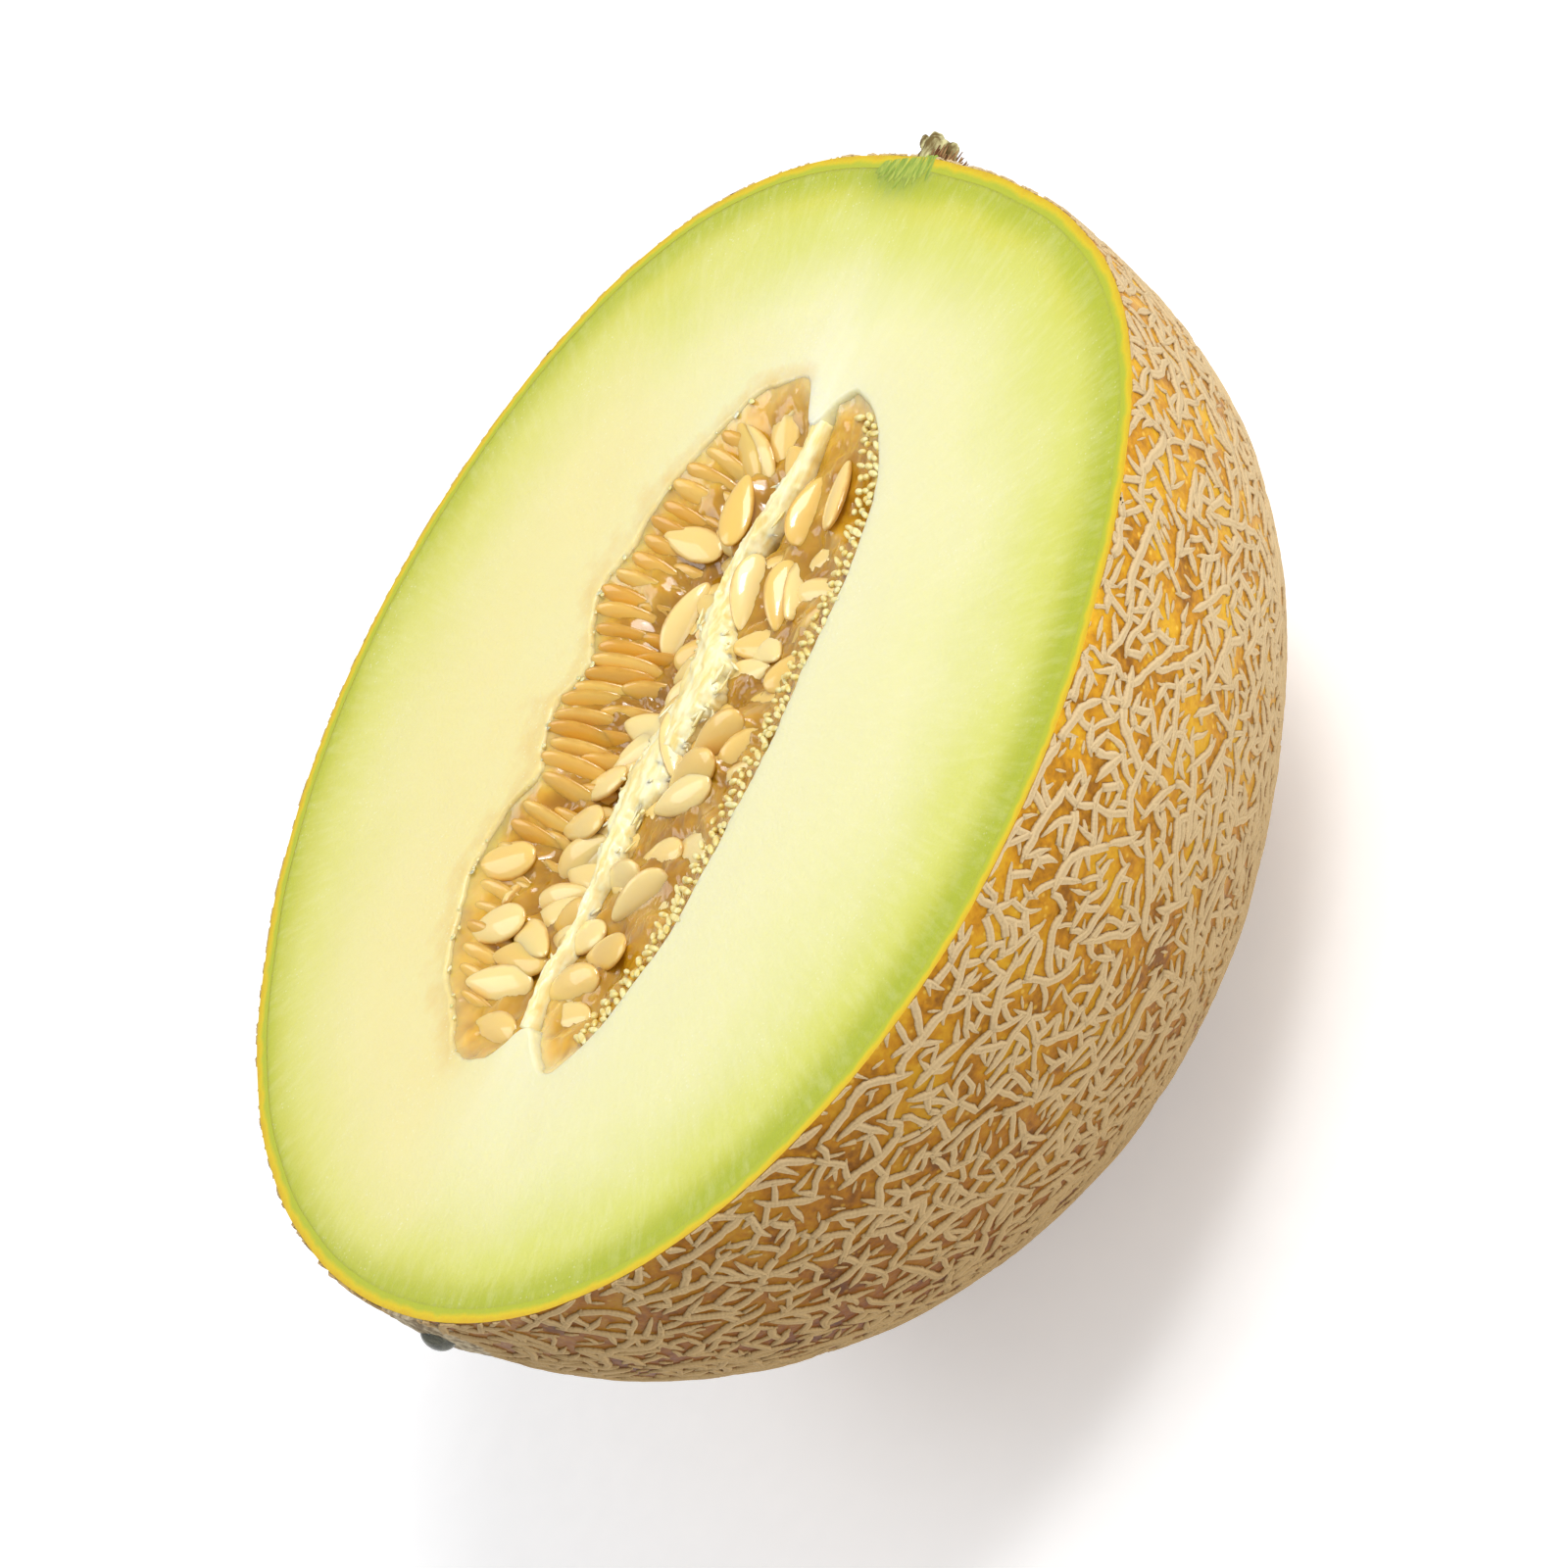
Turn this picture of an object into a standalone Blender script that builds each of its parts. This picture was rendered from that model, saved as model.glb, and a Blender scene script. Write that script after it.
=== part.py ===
"""Half of a netted galia melon, cut lengthwise, lying on its rind with the cut face up.

The frame has +X towards the stem end, +Y across the fruit and +Z up. Its origin is the
middle of the small flat spot that the half rests on. Every piece is worked out about the
middle of the whole fruit, which lies in the cut face, and hangs from one empty there.
"""

import math
import random

import bmesh
import bpy
from mathutils import Matrix, Vector

MM = 0.001

# Driving dimensions of the fruit
MEAN_RADIUS = 75.8 * MM
PROFILE_WAVES = {2: 0.0327, 3: -0.0101, 4: -0.0117, 5: -0.0072, 6: -0.0043}
LEAN = 0.0459
REST_DEPTH = 72.0 * MM

# Rind and its raised net
SKIN_THICKNESS = 1.8 * MM
NET_HEIGHT = 0.8 * MM
NET_RIDGE_WIDTH = 2.1 * MM
NET_CELL = 7.0 * MM
NET_STRETCH = 1.3
NET_SEED = 11
DART_THROWS = 26000
FORM_SEGMENTS = 40

# Blossom scar, a low corky button on the rind
SCAR_CENTRE = Vector((-78.2, -9.0, -6.0)) * MM
SCAR_RADIUS = 10.0 * MM
SCAR_HALF_THICKNESS = 2.1 * MM
SCAR_SINK = 0.6 * MM

# Seed cavity, measured at the cut face
AXIS_TURN = math.radians(4.0)
CAVITY_MIDDLE = Vector((-1.4, 1.3, 0.0)) * MM
CAVITY_HALF_LENGTH = 46.5 * MM
CAVITY_HALF_WIDTH = 23.4 * MM
CAVITY_DEPTH = 22.0 * MM
PLAN_SQUARENESS = 2.4
SECTION_SQUARENESS = 2.3
CAVITY_STATIONS = 20
SECTION_POINTS = 14

# Central strand, part of the flesh: it sags in the middle and passes the cut face at its ends
STRAND_HALF_WIDTH = 3.4 * MM
STRAND_END_WIDTH = 0.7
STRAND_SAG = 2.8 * MM
STRAND_END_RISE = 1.2 * MM
STRAND_OFFSET = 0.8 * MM
STRAND_REACH = 1.1
STRAND_STATIONS = 14

# Seeds, whose narrow end is up, with the turns and shifts that they vary by
SEED_LENGTH = 10.3 * MM
SEED_WIDTH = 4.6 * MM
SEED_THICKNESS = 1.9 * MM
SEED_NARROWING = 0.7
SEEDS_SEED = 5

# The far stack stands edge on against the wall
STACK_COUNT = 33
STACK_SPAN = 0.83
STACK_LEAN = math.radians(25.0)
STACK_DEPTH = 5.6 * MM
STACK_TO_WALL = 5.0 * MM
STACK_SHIFT = 1.0 * MM
STACK_FAN = math.radians(5.0)
STACK_TWIST = math.radians(14.0)

# Other seeds lie flat on the jelly, in rows at a distance from the core
LYING_SPAN = 0.79
LYING_TURN = math.radians(50.0)
LYING_TILT = math.radians(12.0)
LYING_ROLL = math.radians(15.0)
LEAST_NARROWING = 0.82
FOOT_COUNT = 9
FOOT_ROWS = (9.4 * MM,)
FOOT_LEVEL = -8.3 * MM
NEAR_COUNT = 17
NEAR_ROWS = (-9.8 * MM, -13.6 * MM)
NEAR_LEVEL = -4.2 * MM

# Beads of the near rim, in rows given as (share of the way up the slope, height above it)
BEADS_IN_ROW = 26
BEAD_ROWS = ((0.3, 0.6 * MM), (0.72, 0.5 * MM))
BEAD_SPAN = 0.86
BEAD_RADIUS = 0.75 * MM
BEAD_TIP = 0.55
BEAD_LENGTH = 2.2 * MM
BEAD_HIGHEST = -1.4 * MM
BEAD_LEAN = math.radians(15.0)
BEAD_SWAY = math.radians(10.0)

# Tops of the jelly across the cavity, as (y, z) pairs from the near wall to the far wall
NEAR_RIM_TOP = (-22.3 * MM, -1.0 * MM)
NEAR_LEDGE_TOP = (-15.5 * MM, -4.2 * MM)
NEAR_FLOOR_TOP = (-3.0 * MM, -4.8 * MM)
FAR_FLOOR_TOP = (3.5 * MM, -8.6 * MM)
FAR_FOOT_TOP = (14.5 * MM, -8.6 * MM)
FAR_RIM_TOP = (22.4 * MM, -1.2 * MM)

# Dry stub of the stalk, with its green root in the flesh. Its stations, inside to outside, are
# (distance from the skin, half width, half height, sideways shift) in millimetres
STALK_CENTRE = Vector((76.2, 6.0, -3.0)) * MM
STALK_SIDES = 12
STALK_LOBES = 3
STALK_LOBE_DEPTH = 0.09
ROOT_STATIONS = ((-5.5, 2.6, 2.2, 0.3), (-3.0, 4.4, 3.7, 0.1), (-0.6, 5.3, 4.4, 0.0))
STUB_STATIONS = (
    (1.4, 5.2, 4.3, 0.0), (1.9, 3.6, 3.4, 0.0), (2.9, 2.7, 2.7, -0.1), (4.2, 3.0, 2.9, -0.3), (5.2, 2.1, 1.9, -0.6)
)
POCKET_REACH = 8.0

GAP = 0.3 * MM
CUT_MARGIN = 8.0 * MM
SHARP_EDGE = math.radians(35.0)


def new_collection(name):
    """Makes an empty collection in the scene."""
    collection = bpy.data.collections.new(name)
    bpy.context.scene.collection.children.link(collection)
    return collection


def material(name, colour, roughness):
    """A Principled material with one linear colour."""
    made = bpy.data.materials.new(name)
    made.use_nodes = True
    shader = made.node_tree.nodes["Principled BSDF"]
    shader.inputs["Base Color"].default_value = (*colour, 1.0)
    shader.inputs["Roughness"].default_value = roughness
    made.diffuse_color = (*colour, 1.0)
    return made


def placed(name, mesh_data, collection, parent):
    """Turns a bmesh into an object under the fruit's middle, shaded smooth."""
    bmesh.ops.recalc_face_normals(mesh_data, faces=mesh_data.faces[:])
    mesh = bpy.data.meshes.new(name)
    mesh_data.to_mesh(mesh)
    mesh_data.free()
    mesh.shade_smooth()
    mesh.set_sharp_from_angle(angle=SHARP_EDGE)
    piece = bpy.data.objects.new(name, mesh)
    collection.objects.link(piece)
    piece.parent = parent
    return piece


def cutter(name, mesh_data, collection, parent):
    """An object that only cuts others."""
    piece = placed(name, mesh_data, collection, parent)
    piece.hide_render = True
    piece.display_type = "WIRE"
    return piece


def boolean(target, other, operation):
    """Adds a live Boolean to an object."""
    step = target.modifiers.new(f"{operation.lower()} {other.name}", "BOOLEAN")
    step.operation = operation
    step.object = other
    step.solver = "EXACT"


def skin_radius(direction):
    """Distance from the fruit's middle to its skin along a unit direction."""
    angle = math.acos(max(-1.0, min(1.0, direction.x)))
    waves = sum(share * math.cos(order * angle) for order, share in PROFILE_WAVES.items())
    return MEAN_RADIUS * (1.0 + waves + 2.0 * LEAN * direction.x * direction.y)


def fruit_form(inset):
    """The whole fruit's smooth form, a set distance inside its skin."""
    form = bmesh.new()
    bmesh.ops.create_uvsphere(form, u_segments=FORM_SEGMENTS, v_segments=FORM_SEGMENTS // 2, radius=1.0)
    for vert in form.verts:
        direction = vert.co.normalized()
        vert.co = direction * (skin_radius(direction) - inset)
    return form


def scattered_directions(draw):
    """Random directions, evenly spaced, closer together towards the stem and blossom ends."""
    spacing = NET_CELL / MEAN_RADIUS
    kept = []
    for _ in range(DART_THROWS):
        dart = Vector((draw.gauss(0.0, 1.0), draw.gauss(0.0, 1.0), draw.gauss(0.0, 1.0))).normalized()
        if all((dart - other).length_squared > spacing * spacing for other in kept):
            kept.append(dart)
    return [Vector((dart.x * NET_STRETCH, dart.y, dart.z)).normalized() for dart in kept]


def faces_round(vert):
    """The faces round a vertex, in order."""
    first = vert.link_loops[0]
    loop, ring = first, []
    while True:
        ring.append(loop.face)
        loop = loop.link_loop_prev.link_loop_radial_next
        if loop == first:
            return ring


def netted_fruit(draw):
    """The whole fruit's outside: cells sunk between raised ridges, as a closed form."""
    hull = bmesh.new()
    for direction in scattered_directions(draw):
        hull.verts.new(direction)
    bmesh.ops.convex_hull(hull, input=hull.verts[:])
    net = bmesh.new()
    crossings = {}
    for face in hull.faces:
        direction = face.calc_center_median().normalized()
        crossings[face] = net.verts.new(direction * (skin_radius(direction) + NET_HEIGHT))
    cells = [net.faces.new([crossings[face] for face in faces_round(vert)]) for vert in hull.verts]
    hull.free()
    bmesh.ops.recalc_face_normals(net, faces=cells)
    bmesh.ops.inset_individual(
        net, faces=cells, thickness=NET_RIDGE_WIDTH / 2.0, depth=-NET_HEIGHT, use_even_offset=True
    )
    return net


def slab():
    """The block between the rest spot and the cut face."""
    block = bmesh.new()
    bmesh.ops.create_cube(block, size=1.0)
    bmesh.ops.scale(block, vec=(4.0 * MEAN_RADIUS, 4.0 * MEAN_RADIUS, REST_DEPTH), verts=block.verts)
    bmesh.ops.translate(block, vec=(0.0, 0.0, -REST_DEPTH / 2.0), verts=block.verts)
    return block


def scar_button():
    """The blossom scar's low dome, half sunk in the rind."""
    button = bmesh.new()
    bmesh.ops.create_uvsphere(button, u_segments=16, v_segments=8, radius=1.0)
    bmesh.ops.scale(button, vec=(SCAR_RADIUS, SCAR_RADIUS, SCAR_HALF_THICKNESS), verts=button.verts)
    outward = SCAR_CENTRE.normalized()
    under_skin = outward * (skin_radius(outward) - SCAR_SINK)
    turn = outward.to_track_quat("Z", "Y").to_matrix().to_4x4()
    bmesh.ops.transform(button, matrix=Matrix.Translation(under_skin) @ turn, verts=button.verts)
    return button


def loft(outline, frames):
    """A closed bar: a flat outline of (y, z) points carried through a list of frames."""
    bar = bmesh.new()
    ring = [bar.verts.new(frames[0] @ Vector((0.0, y, z))) for y, z in outline]
    first = end = bar.faces.new(ring)
    for before, after in zip(frames, frames[1:]):
        grown = bmesh.ops.extrude_face_region(bar, geom=[end])["geom"]
        if end is not first:
            bmesh.ops.delete(bar, geom=[end], context="FACES_ONLY")
        end = next(item for item in grown if isinstance(item, bmesh.types.BMFace))
        moved = [item for item in grown if isinstance(item, bmesh.types.BMVert)]
        bmesh.ops.transform(bar, matrix=after @ before.inverted(), verts=moved)
    return bar


def cavity_frame():
    """The cavity's own frame: its X runs along the fruit's core."""
    return Matrix.Translation(CAVITY_MIDDLE) @ Matrix.Rotation(AXIS_TURN, 4, "Z")


def taper(share):
    """How wide the cavity is at a share of its half-length, against its middle."""
    return (1.0 - abs(share) ** PLAN_SQUARENESS) ** (1.0 / PLAN_SQUARENESS)


def tapered_frames(inset):
    """Frames along the cavity, scaled by its taper."""
    frames = []
    for index in range(CAVITY_STATIONS + 1):
        turn = math.pi * (0.03 + 0.94 * index / CAVITY_STATIONS)
        share = math.copysign(abs(math.cos(turn)) ** (2.0 / PLAN_SQUARENESS), math.cos(turn))
        scale = taper(share)
        at = Matrix.Translation(((CAVITY_HALF_LENGTH - inset) * share, 0.0, 0.0))
        frames.append(cavity_frame() @ at @ Matrix.Diagonal((1.0, scale, scale, 1.0)))
    return frames


def trough(inset, first, last):
    """Points of the cavity's round floor, from the far wall to the near one."""
    points = []
    for index in range(SECTION_POINTS + 1):
        turn = first + (last - first) * index / SECTION_POINTS
        across, down = math.cos(turn), math.sin(turn)
        power = 2.0 / SECTION_SQUARENESS
        y = math.copysign(abs(across) ** power, across) * (CAVITY_HALF_WIDTH - inset)
        points.append((y, -(abs(down) ** power) * (CAVITY_DEPTH - inset)))
    return points


def cavity_form():
    """The whole hollow, open through the cut face."""
    outline = trough(0.0, 0.0, math.pi)
    outline += [(-CAVITY_HALF_WIDTH, CUT_MARGIN), (CAVITY_HALF_WIDTH, CUT_MARGIN)]
    return loft(outline, tapered_frames(0.0))


def jelly_form():
    """What fills the hollow: its floor, and the uneven top that the seeds stand out of."""
    edge = math.radians(4.0)
    outline = trough(GAP, edge, math.pi - edge)
    outline += [NEAR_RIM_TOP, NEAR_LEDGE_TOP, NEAR_FLOOR_TOP, FAR_FLOOR_TOP, FAR_FOOT_TOP, FAR_RIM_TOP]
    return loft(outline, tapered_frames(GAP))


def strand_form(margin):
    """The wall of pale tissue along the core, sagging in the middle, grown by a margin."""
    half = STRAND_HALF_WIDTH + margin
    turns = [math.radians(30.0 * index) for index in range(7)]
    crown = [(half * math.cos(turn), half * (math.sin(turn) - 1.0) + margin) for turn in turns]
    foot = -1.5 * CAVITY_DEPTH
    frames = []
    for index in range(STRAND_STATIONS + 1):
        share = STRAND_REACH * (2.0 * index / STRAND_STATIONS - 1.0)
        bow = max(0.0, math.cos(share * math.pi / 2.0))
        level = STRAND_END_RISE - (STRAND_SAG + STRAND_END_RISE) * bow ** 0.7
        at = Matrix.Translation((share * CAVITY_HALF_LENGTH, STRAND_OFFSET * bow, level))
        width = STRAND_END_WIDTH + (1.0 - STRAND_END_WIDTH) * bow
        frames.append(cavity_frame() @ at @ Matrix.Diagonal((1.0, width, 1.0, 1.0)))
    return loft(crown + [(-half, foot), (half, foot)], frames)


def side_block(side):
    """A block that covers the cavity on one side of the core."""
    block = bmesh.new()
    bmesh.ops.create_cube(block, size=4.0 * CAVITY_HALF_LENGTH)
    bmesh.ops.translate(block, vec=(0.0, side * 2.0 * CAVITY_HALF_LENGTH, 0.0), verts=block.verts)
    bmesh.ops.transform(block, matrix=cavity_frame(), verts=block.verts)
    return block


def seed_mesh():
    """One seed: a flat drop, pointed at its upper end, its length along Z."""
    seed = bmesh.new()
    bmesh.ops.create_uvsphere(seed, u_segments=7, v_segments=6, radius=0.5)
    for vert in seed.verts:
        narrowing = 1.0 - SEED_NARROWING * vert.co.z
        vert.co.x *= SEED_WIDTH * narrowing
        vert.co.y *= SEED_THICKNESS * narrowing
        vert.co.z *= SEED_LENGTH
    mesh = bpy.data.meshes.new("seed")
    seed.to_mesh(mesh)
    seed.free()
    return mesh


def bead_mesh():
    """One bead of the near rim: a short blunt peg, its length along Z."""
    bead = bmesh.new()
    bmesh.ops.create_cone(
        bead, cap_ends=True, segments=5, radius1=BEAD_RADIUS, radius2=BEAD_TIP * BEAD_RADIUS, depth=BEAD_LENGTH
    )
    mesh = bpy.data.meshes.new("bead")
    bead.to_mesh(mesh)
    bead.free()
    return mesh


def spread(index, count):
    """Evenly spaced shares from -1 to 1."""
    return 2.0 * index / (count - 1) - 1.0


def stacked_seed_places(draw):
    """Frames of the seeds that stand side by side against the far wall."""
    places = []
    for index in range(STACK_COUNT):
        share = STACK_SPAN * spread(index, STACK_COUNT)
        back = taper(share) * CAVITY_HALF_WIDTH - STACK_TO_WALL - draw.uniform(0.0, STACK_SHIFT)
        down = STACK_DEPTH + draw.uniform(0.0, STACK_SHIFT)
        lean = Matrix.Rotation(-STACK_LEAN + draw.uniform(-STACK_FAN, STACK_FAN), 4, "X")
        fan = Matrix.Rotation(draw.uniform(-STACK_FAN, STACK_FAN), 4, "Y")
        edge_on = Matrix.Rotation(math.pi / 2.0 + draw.uniform(-STACK_TWIST, STACK_TWIST), 4, "Z")
        at = Matrix.Translation((share * CAVITY_HALF_LENGTH, back, -down))
        places.append(at @ lean @ fan @ edge_on)
    return places


def lying_seed_places(draw, count, rows, level):
    """Frames of the seeds that lie on the jelly, taking the rows in turn."""
    places = []
    for index in range(count):
        share = LYING_SPAN * spread(index, count)
        narrow = max(taper(share), LEAST_NARROWING)
        at = (share * CAVITY_HALF_LENGTH, rows[index % len(rows)] * narrow, level * narrow)
        along_core = math.pi * (0.5 + draw.randrange(2))
        heading = Matrix.Rotation(along_core + draw.uniform(-LYING_TURN, LYING_TURN), 4, "Z")
        tilt = Matrix.Rotation(math.pi / 2.0 + draw.uniform(-LYING_TILT, LYING_TILT), 4, "X")
        roll = Matrix.Rotation(draw.uniform(-LYING_ROLL, LYING_ROLL), 4, "Z")
        places.append(Matrix.Translation(at) @ heading @ tilt @ roll)
    return places


def bead_places(draw):
    """Frames of the beads, in rows on the slope below the near rim."""
    places = []
    for row, height in BEAD_ROWS:
        y, z = Vector(NEAR_LEDGE_TOP).lerp(Vector(NEAR_RIM_TOP), row)
        for index in range(BEADS_IN_ROW):
            share = BEAD_SPAN * (2.0 * (index + row) / BEADS_IN_ROW - 1.0)
            width = taper(share)
            at = (share * CAVITY_HALF_LENGTH, y * width, min(z * width + height, BEAD_HIGHEST))
            tilt = Matrix.Rotation(BEAD_LEAN + draw.uniform(-BEAD_SWAY, BEAD_SWAY), 4, "X")
            places.append(Matrix.Translation(at) @ tilt)
    return places


def fused(base, repeats):
    """Joins repeats, given as (mesh, frames) pairs, to a base by one applied union."""
    pieces = new_collection(f"{base.name} repeats")
    for mesh, places in repeats:
        for place in places:
            piece = bpy.data.objects.new(mesh.name, mesh)
            pieces.objects.link(piece)
            piece.parent = base.parent
            piece.matrix_local = cavity_frame() @ place
    union = base.modifiers.new("union", "BOOLEAN")
    union.operation = "UNION"
    union.operand_type = "COLLECTION"
    union.collection = pieces
    union.solver = "EXACT"
    graph = bpy.context.evaluated_depsgraph_get()
    whole = bpy.data.meshes.new_from_object(base.evaluated_get(graph))
    whole.name = base.name
    base.modifiers.clear()
    base.data = whole
    for piece in list(pieces.objects):
        bpy.data.objects.remove(piece)
    bpy.data.collections.remove(pieces)


def stalk_loft(stations, margin):
    """The stalk's form through a list of stations, grown by a margin in millimetres."""
    outline = []
    for index in range(STALK_SIDES):
        turn = 2.0 * math.pi * index / STALK_SIDES
        reach = 1.0 + STALK_LOBE_DEPTH * math.cos(STALK_LOBES * turn)
        outline.append((reach * math.cos(turn), reach * math.sin(turn)))
    frames = []
    for along, width, height, shift in stations:
        at = Matrix.Translation(Vector((along, shift, 0.0)) * MM)
        size = Matrix.Diagonal((1.0, (width + margin) * MM, (height + margin) * MM, 1.0))
        frames.append(Matrix.Translation(STALK_CENTRE) @ Matrix.Rotation(AXIS_TURN, 4, "Z") @ at @ size)
    return loft(outline, frames)


def stalk_pocket():
    """The hole that the root fills in flesh and rind, with clearance all round."""
    margin = GAP / MM
    (depth, *root_end), *others = ROOT_STATIONS
    outside = (POCKET_REACH, *ROOT_STATIONS[-1][1:])
    return stalk_loft([(depth - margin, *root_end), *others, outside], margin)


def build_rind(parts, cutters, middle):
    """The netted shell with its blossom scar, cut flat at the rest spot and the cut face."""
    rind = placed("rind", netted_fruit(random.Random(NET_SEED)), parts, middle)
    rind.data.materials.append(material("netted rind", (0.62, 0.42, 0.16), 0.7))
    boolean(rind, cutters["scar_button"], "UNION")
    boolean(rind, cutters["inner_skin"], "DIFFERENCE")
    boolean(rind, cutters["slab"], "INTERSECT")
    boolean(rind, cutters["stalk_pocket"], "DIFFERENCE")


def build_flesh(parts, cutters, middle):
    """The flesh, hollow at the core but for the strand that it keeps there."""
    flesh = placed("flesh", fruit_form(SKIN_THICKNESS + GAP), parts, middle)
    flesh.data.materials.append(material("green melon flesh", (0.69, 0.78, 0.33), 0.45))
    boolean(cutters["cavity"], cutters["strand"], "DIFFERENCE")
    boolean(flesh, cutters["slab"], "INTERSECT")
    boolean(flesh, cutters["stalk_pocket"], "DIFFERENCE")
    boolean(flesh, cutters["cavity"], "DIFFERENCE")


def build_seeds(parts, cutters, middle):
    """The two bunches of seeds in their jelly, one on each side of the strand."""
    draw = random.Random(SEEDS_SEED)
    seed, bead = seed_mesh(), bead_mesh()
    far = [
        (seed, stacked_seed_places(draw)),
        (seed, lying_seed_places(draw, FOOT_COUNT, FOOT_ROWS, FOOT_LEVEL)),
    ]
    near = [
        (seed, lying_seed_places(draw, NEAR_COUNT, NEAR_ROWS, NEAR_LEVEL)),
        (bead, bead_places(draw)),
    ]
    amber = material("seeds in amber jelly", (0.66, 0.42, 0.14), 0.3)
    for name, other_side, repeats in (("seeds_far", "near_side", far), ("seeds_near", "far_side", near)):
        bunch = placed(name, jelly_form(), parts, middle)
        bunch.data.materials.append(amber)
        boolean(bunch, cutters["strand_room"], "DIFFERENCE")
        boolean(bunch, cutters[other_side], "DIFFERENCE")
        fused(bunch, repeats)


def build_stalk(parts, cutters, middle):
    """The stub of the stalk, its root flush with the cut face."""
    stalk = placed("stalk", stalk_loft(ROOT_STATIONS + STUB_STATIONS, 0.0), parts, middle)
    stalk.data.materials.append(material("dry stalk", (0.33, 0.27, 0.12), 0.8))
    boolean(stalk, cutters["slab"], "INTERSECT")


def build_melon():
    """Builds the half melon's pieces and the shapes that cut them."""
    parts = new_collection("galia_melon_half")
    tools = new_collection("cutters")
    middle = bpy.data.objects.new("fruit_middle", None)
    middle.location.z = REST_DEPTH
    parts.objects.link(middle)
    forms = {
        "slab": slab(),
        "inner_skin": fruit_form(SKIN_THICKNESS),
        "scar_button": scar_button(),
        "stalk_pocket": stalk_pocket(),
        "cavity": cavity_form(),
        "strand": strand_form(0.0),
        "strand_room": strand_form(GAP),
        "near_side": side_block(-1.0),
        "far_side": side_block(1.0),
    }
    cutters = {name: cutter(name, form, tools, middle) for name, form in forms.items()}
    build_rind(parts, cutters, middle)
    build_flesh(parts, cutters, middle)
    build_seeds(parts, cutters, middle)
    build_stalk(parts, cutters, middle)


for item in list(bpy.data.objects):
    bpy.data.objects.remove(item)
build_melon()
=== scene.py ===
"""Half a galia melon, dressed for its picture: skin, cork net, flesh, seeds in jelly and stalk."""

import logging
import math
import random
from collections.abc import Iterable
from dataclasses import dataclass, field
from enum import Enum

import bmesh
import bpy
from mathutils import Matrix, Vector, noise


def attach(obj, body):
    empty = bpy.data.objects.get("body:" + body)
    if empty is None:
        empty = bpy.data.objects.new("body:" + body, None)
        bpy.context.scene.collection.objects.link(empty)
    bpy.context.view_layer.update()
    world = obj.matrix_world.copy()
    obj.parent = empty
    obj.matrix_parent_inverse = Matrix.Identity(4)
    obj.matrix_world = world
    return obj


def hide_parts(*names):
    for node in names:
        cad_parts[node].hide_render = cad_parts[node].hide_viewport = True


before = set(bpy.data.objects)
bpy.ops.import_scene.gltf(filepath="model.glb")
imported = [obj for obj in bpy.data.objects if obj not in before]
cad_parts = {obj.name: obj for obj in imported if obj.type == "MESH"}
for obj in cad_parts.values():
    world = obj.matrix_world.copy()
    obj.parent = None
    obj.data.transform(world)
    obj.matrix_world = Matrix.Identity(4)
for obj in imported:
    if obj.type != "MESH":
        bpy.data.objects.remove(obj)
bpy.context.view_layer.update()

LOG = logging.getLogger("melon")
METRES = 0.001  # metres in a millimetre; every size below is in mm
CUT_HEIGHT = 72.0  # the cut face above the floor
MIDDLE = Vector((0.0, 0.0, CUT_HEIGHT))
UP = Vector((0.0, 0.0, 1.0))


class Slot(Enum):
    """The material slots of the record."""

    RIND = "rind"
    FLESH = "flesh"
    SEEDS = "seeds_in_jelly"
    STALK = "stalk"


class Ridge(Enum):
    """The kinds of ridge in the net: (half width, height) in mm."""

    LONG = (0.62, 0.40)
    CROSS = (0.54, 0.35)
    FLECK = (0.42, 0.28)


def linear(hex_colour: str) -> tuple[float, float, float, float]:
    """Turns an sRGB hex colour to linear.

    Args:
        hex_colour: six hex digits after a #.

    Returns:
        Red, green, blue and alpha, linear.
    """
    parts = [int(hex_colour[at:at + 2], 16) / 255 for at in (1, 3, 5)]
    turned = [part / 12.92 if part <= 0.04045 else ((part + 0.055) / 1.055) ** 2.4 for part in parts]
    return (turned[0], turned[1], turned[2], 1.0)


def per_metre(size: float) -> float:
    """The scale of a pattern on Object coordinates whose grains are size mm apart."""
    return 1.0 / (size * METRES)


def add(tree: bpy.types.NodeTree, kind: str, settings: dict | None = None,
        links: dict | None = None) -> bpy.types.Node:
    """Adds a node with its settings and links.

    Args:
        tree: the node tree.
        kind: the node's type.
        settings: sockets by name or number, properties by name, or "ramp" with (place, hex) pairs.
        links: output sockets by the input, name or number, that they go to.

    Returns:
        The node.
    """
    node = tree.nodes.new(kind)
    for key, value in (settings or {}).items():
        if key == "ramp":
            stops = node.color_ramp.elements
            while len(stops) < len(value):
                stops.new(0.5)
            for stop, (place, colour) in zip(stops, value):
                stop.position = place
                stop.color = linear(colour)
        elif isinstance(key, int) or (key in node.inputs and not hasattr(node, key)):
            node.inputs[key].default_value = value
        else:
            setattr(node, key, value)
    for key, source in (links or {}).items():
        tree.links.new(source, node.inputs[key])
    return node


def link_finish(tree: bpy.types.NodeTree, shader: bpy.types.Node, colour: bpy.types.NodeSocket,
                bump: bpy.types.Node) -> None:
    """Leads the colour and the bump to the shader."""
    tree.links.new(colour, shader.inputs["Base Color"])
    tree.links.new(bump.outputs[0], shader.inputs["Normal"])


def new_material(name: str) -> tuple[bpy.types.Material, bpy.types.NodeTree, bpy.types.Node]:
    """Makes an empty node material.

    Args:
        name: the material's name.

    Returns:
        The material, its tree and its shader.
    """
    material = bpy.data.materials.new(name)
    material.use_nodes = True
    tree = material.node_tree
    tree.nodes.clear()
    shader = add(tree, "ShaderNodeBsdfPrincipled")
    add(tree, "ShaderNodeOutputMaterial", links={"Surface": shader.outputs[0]})
    return material, tree, shader


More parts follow.
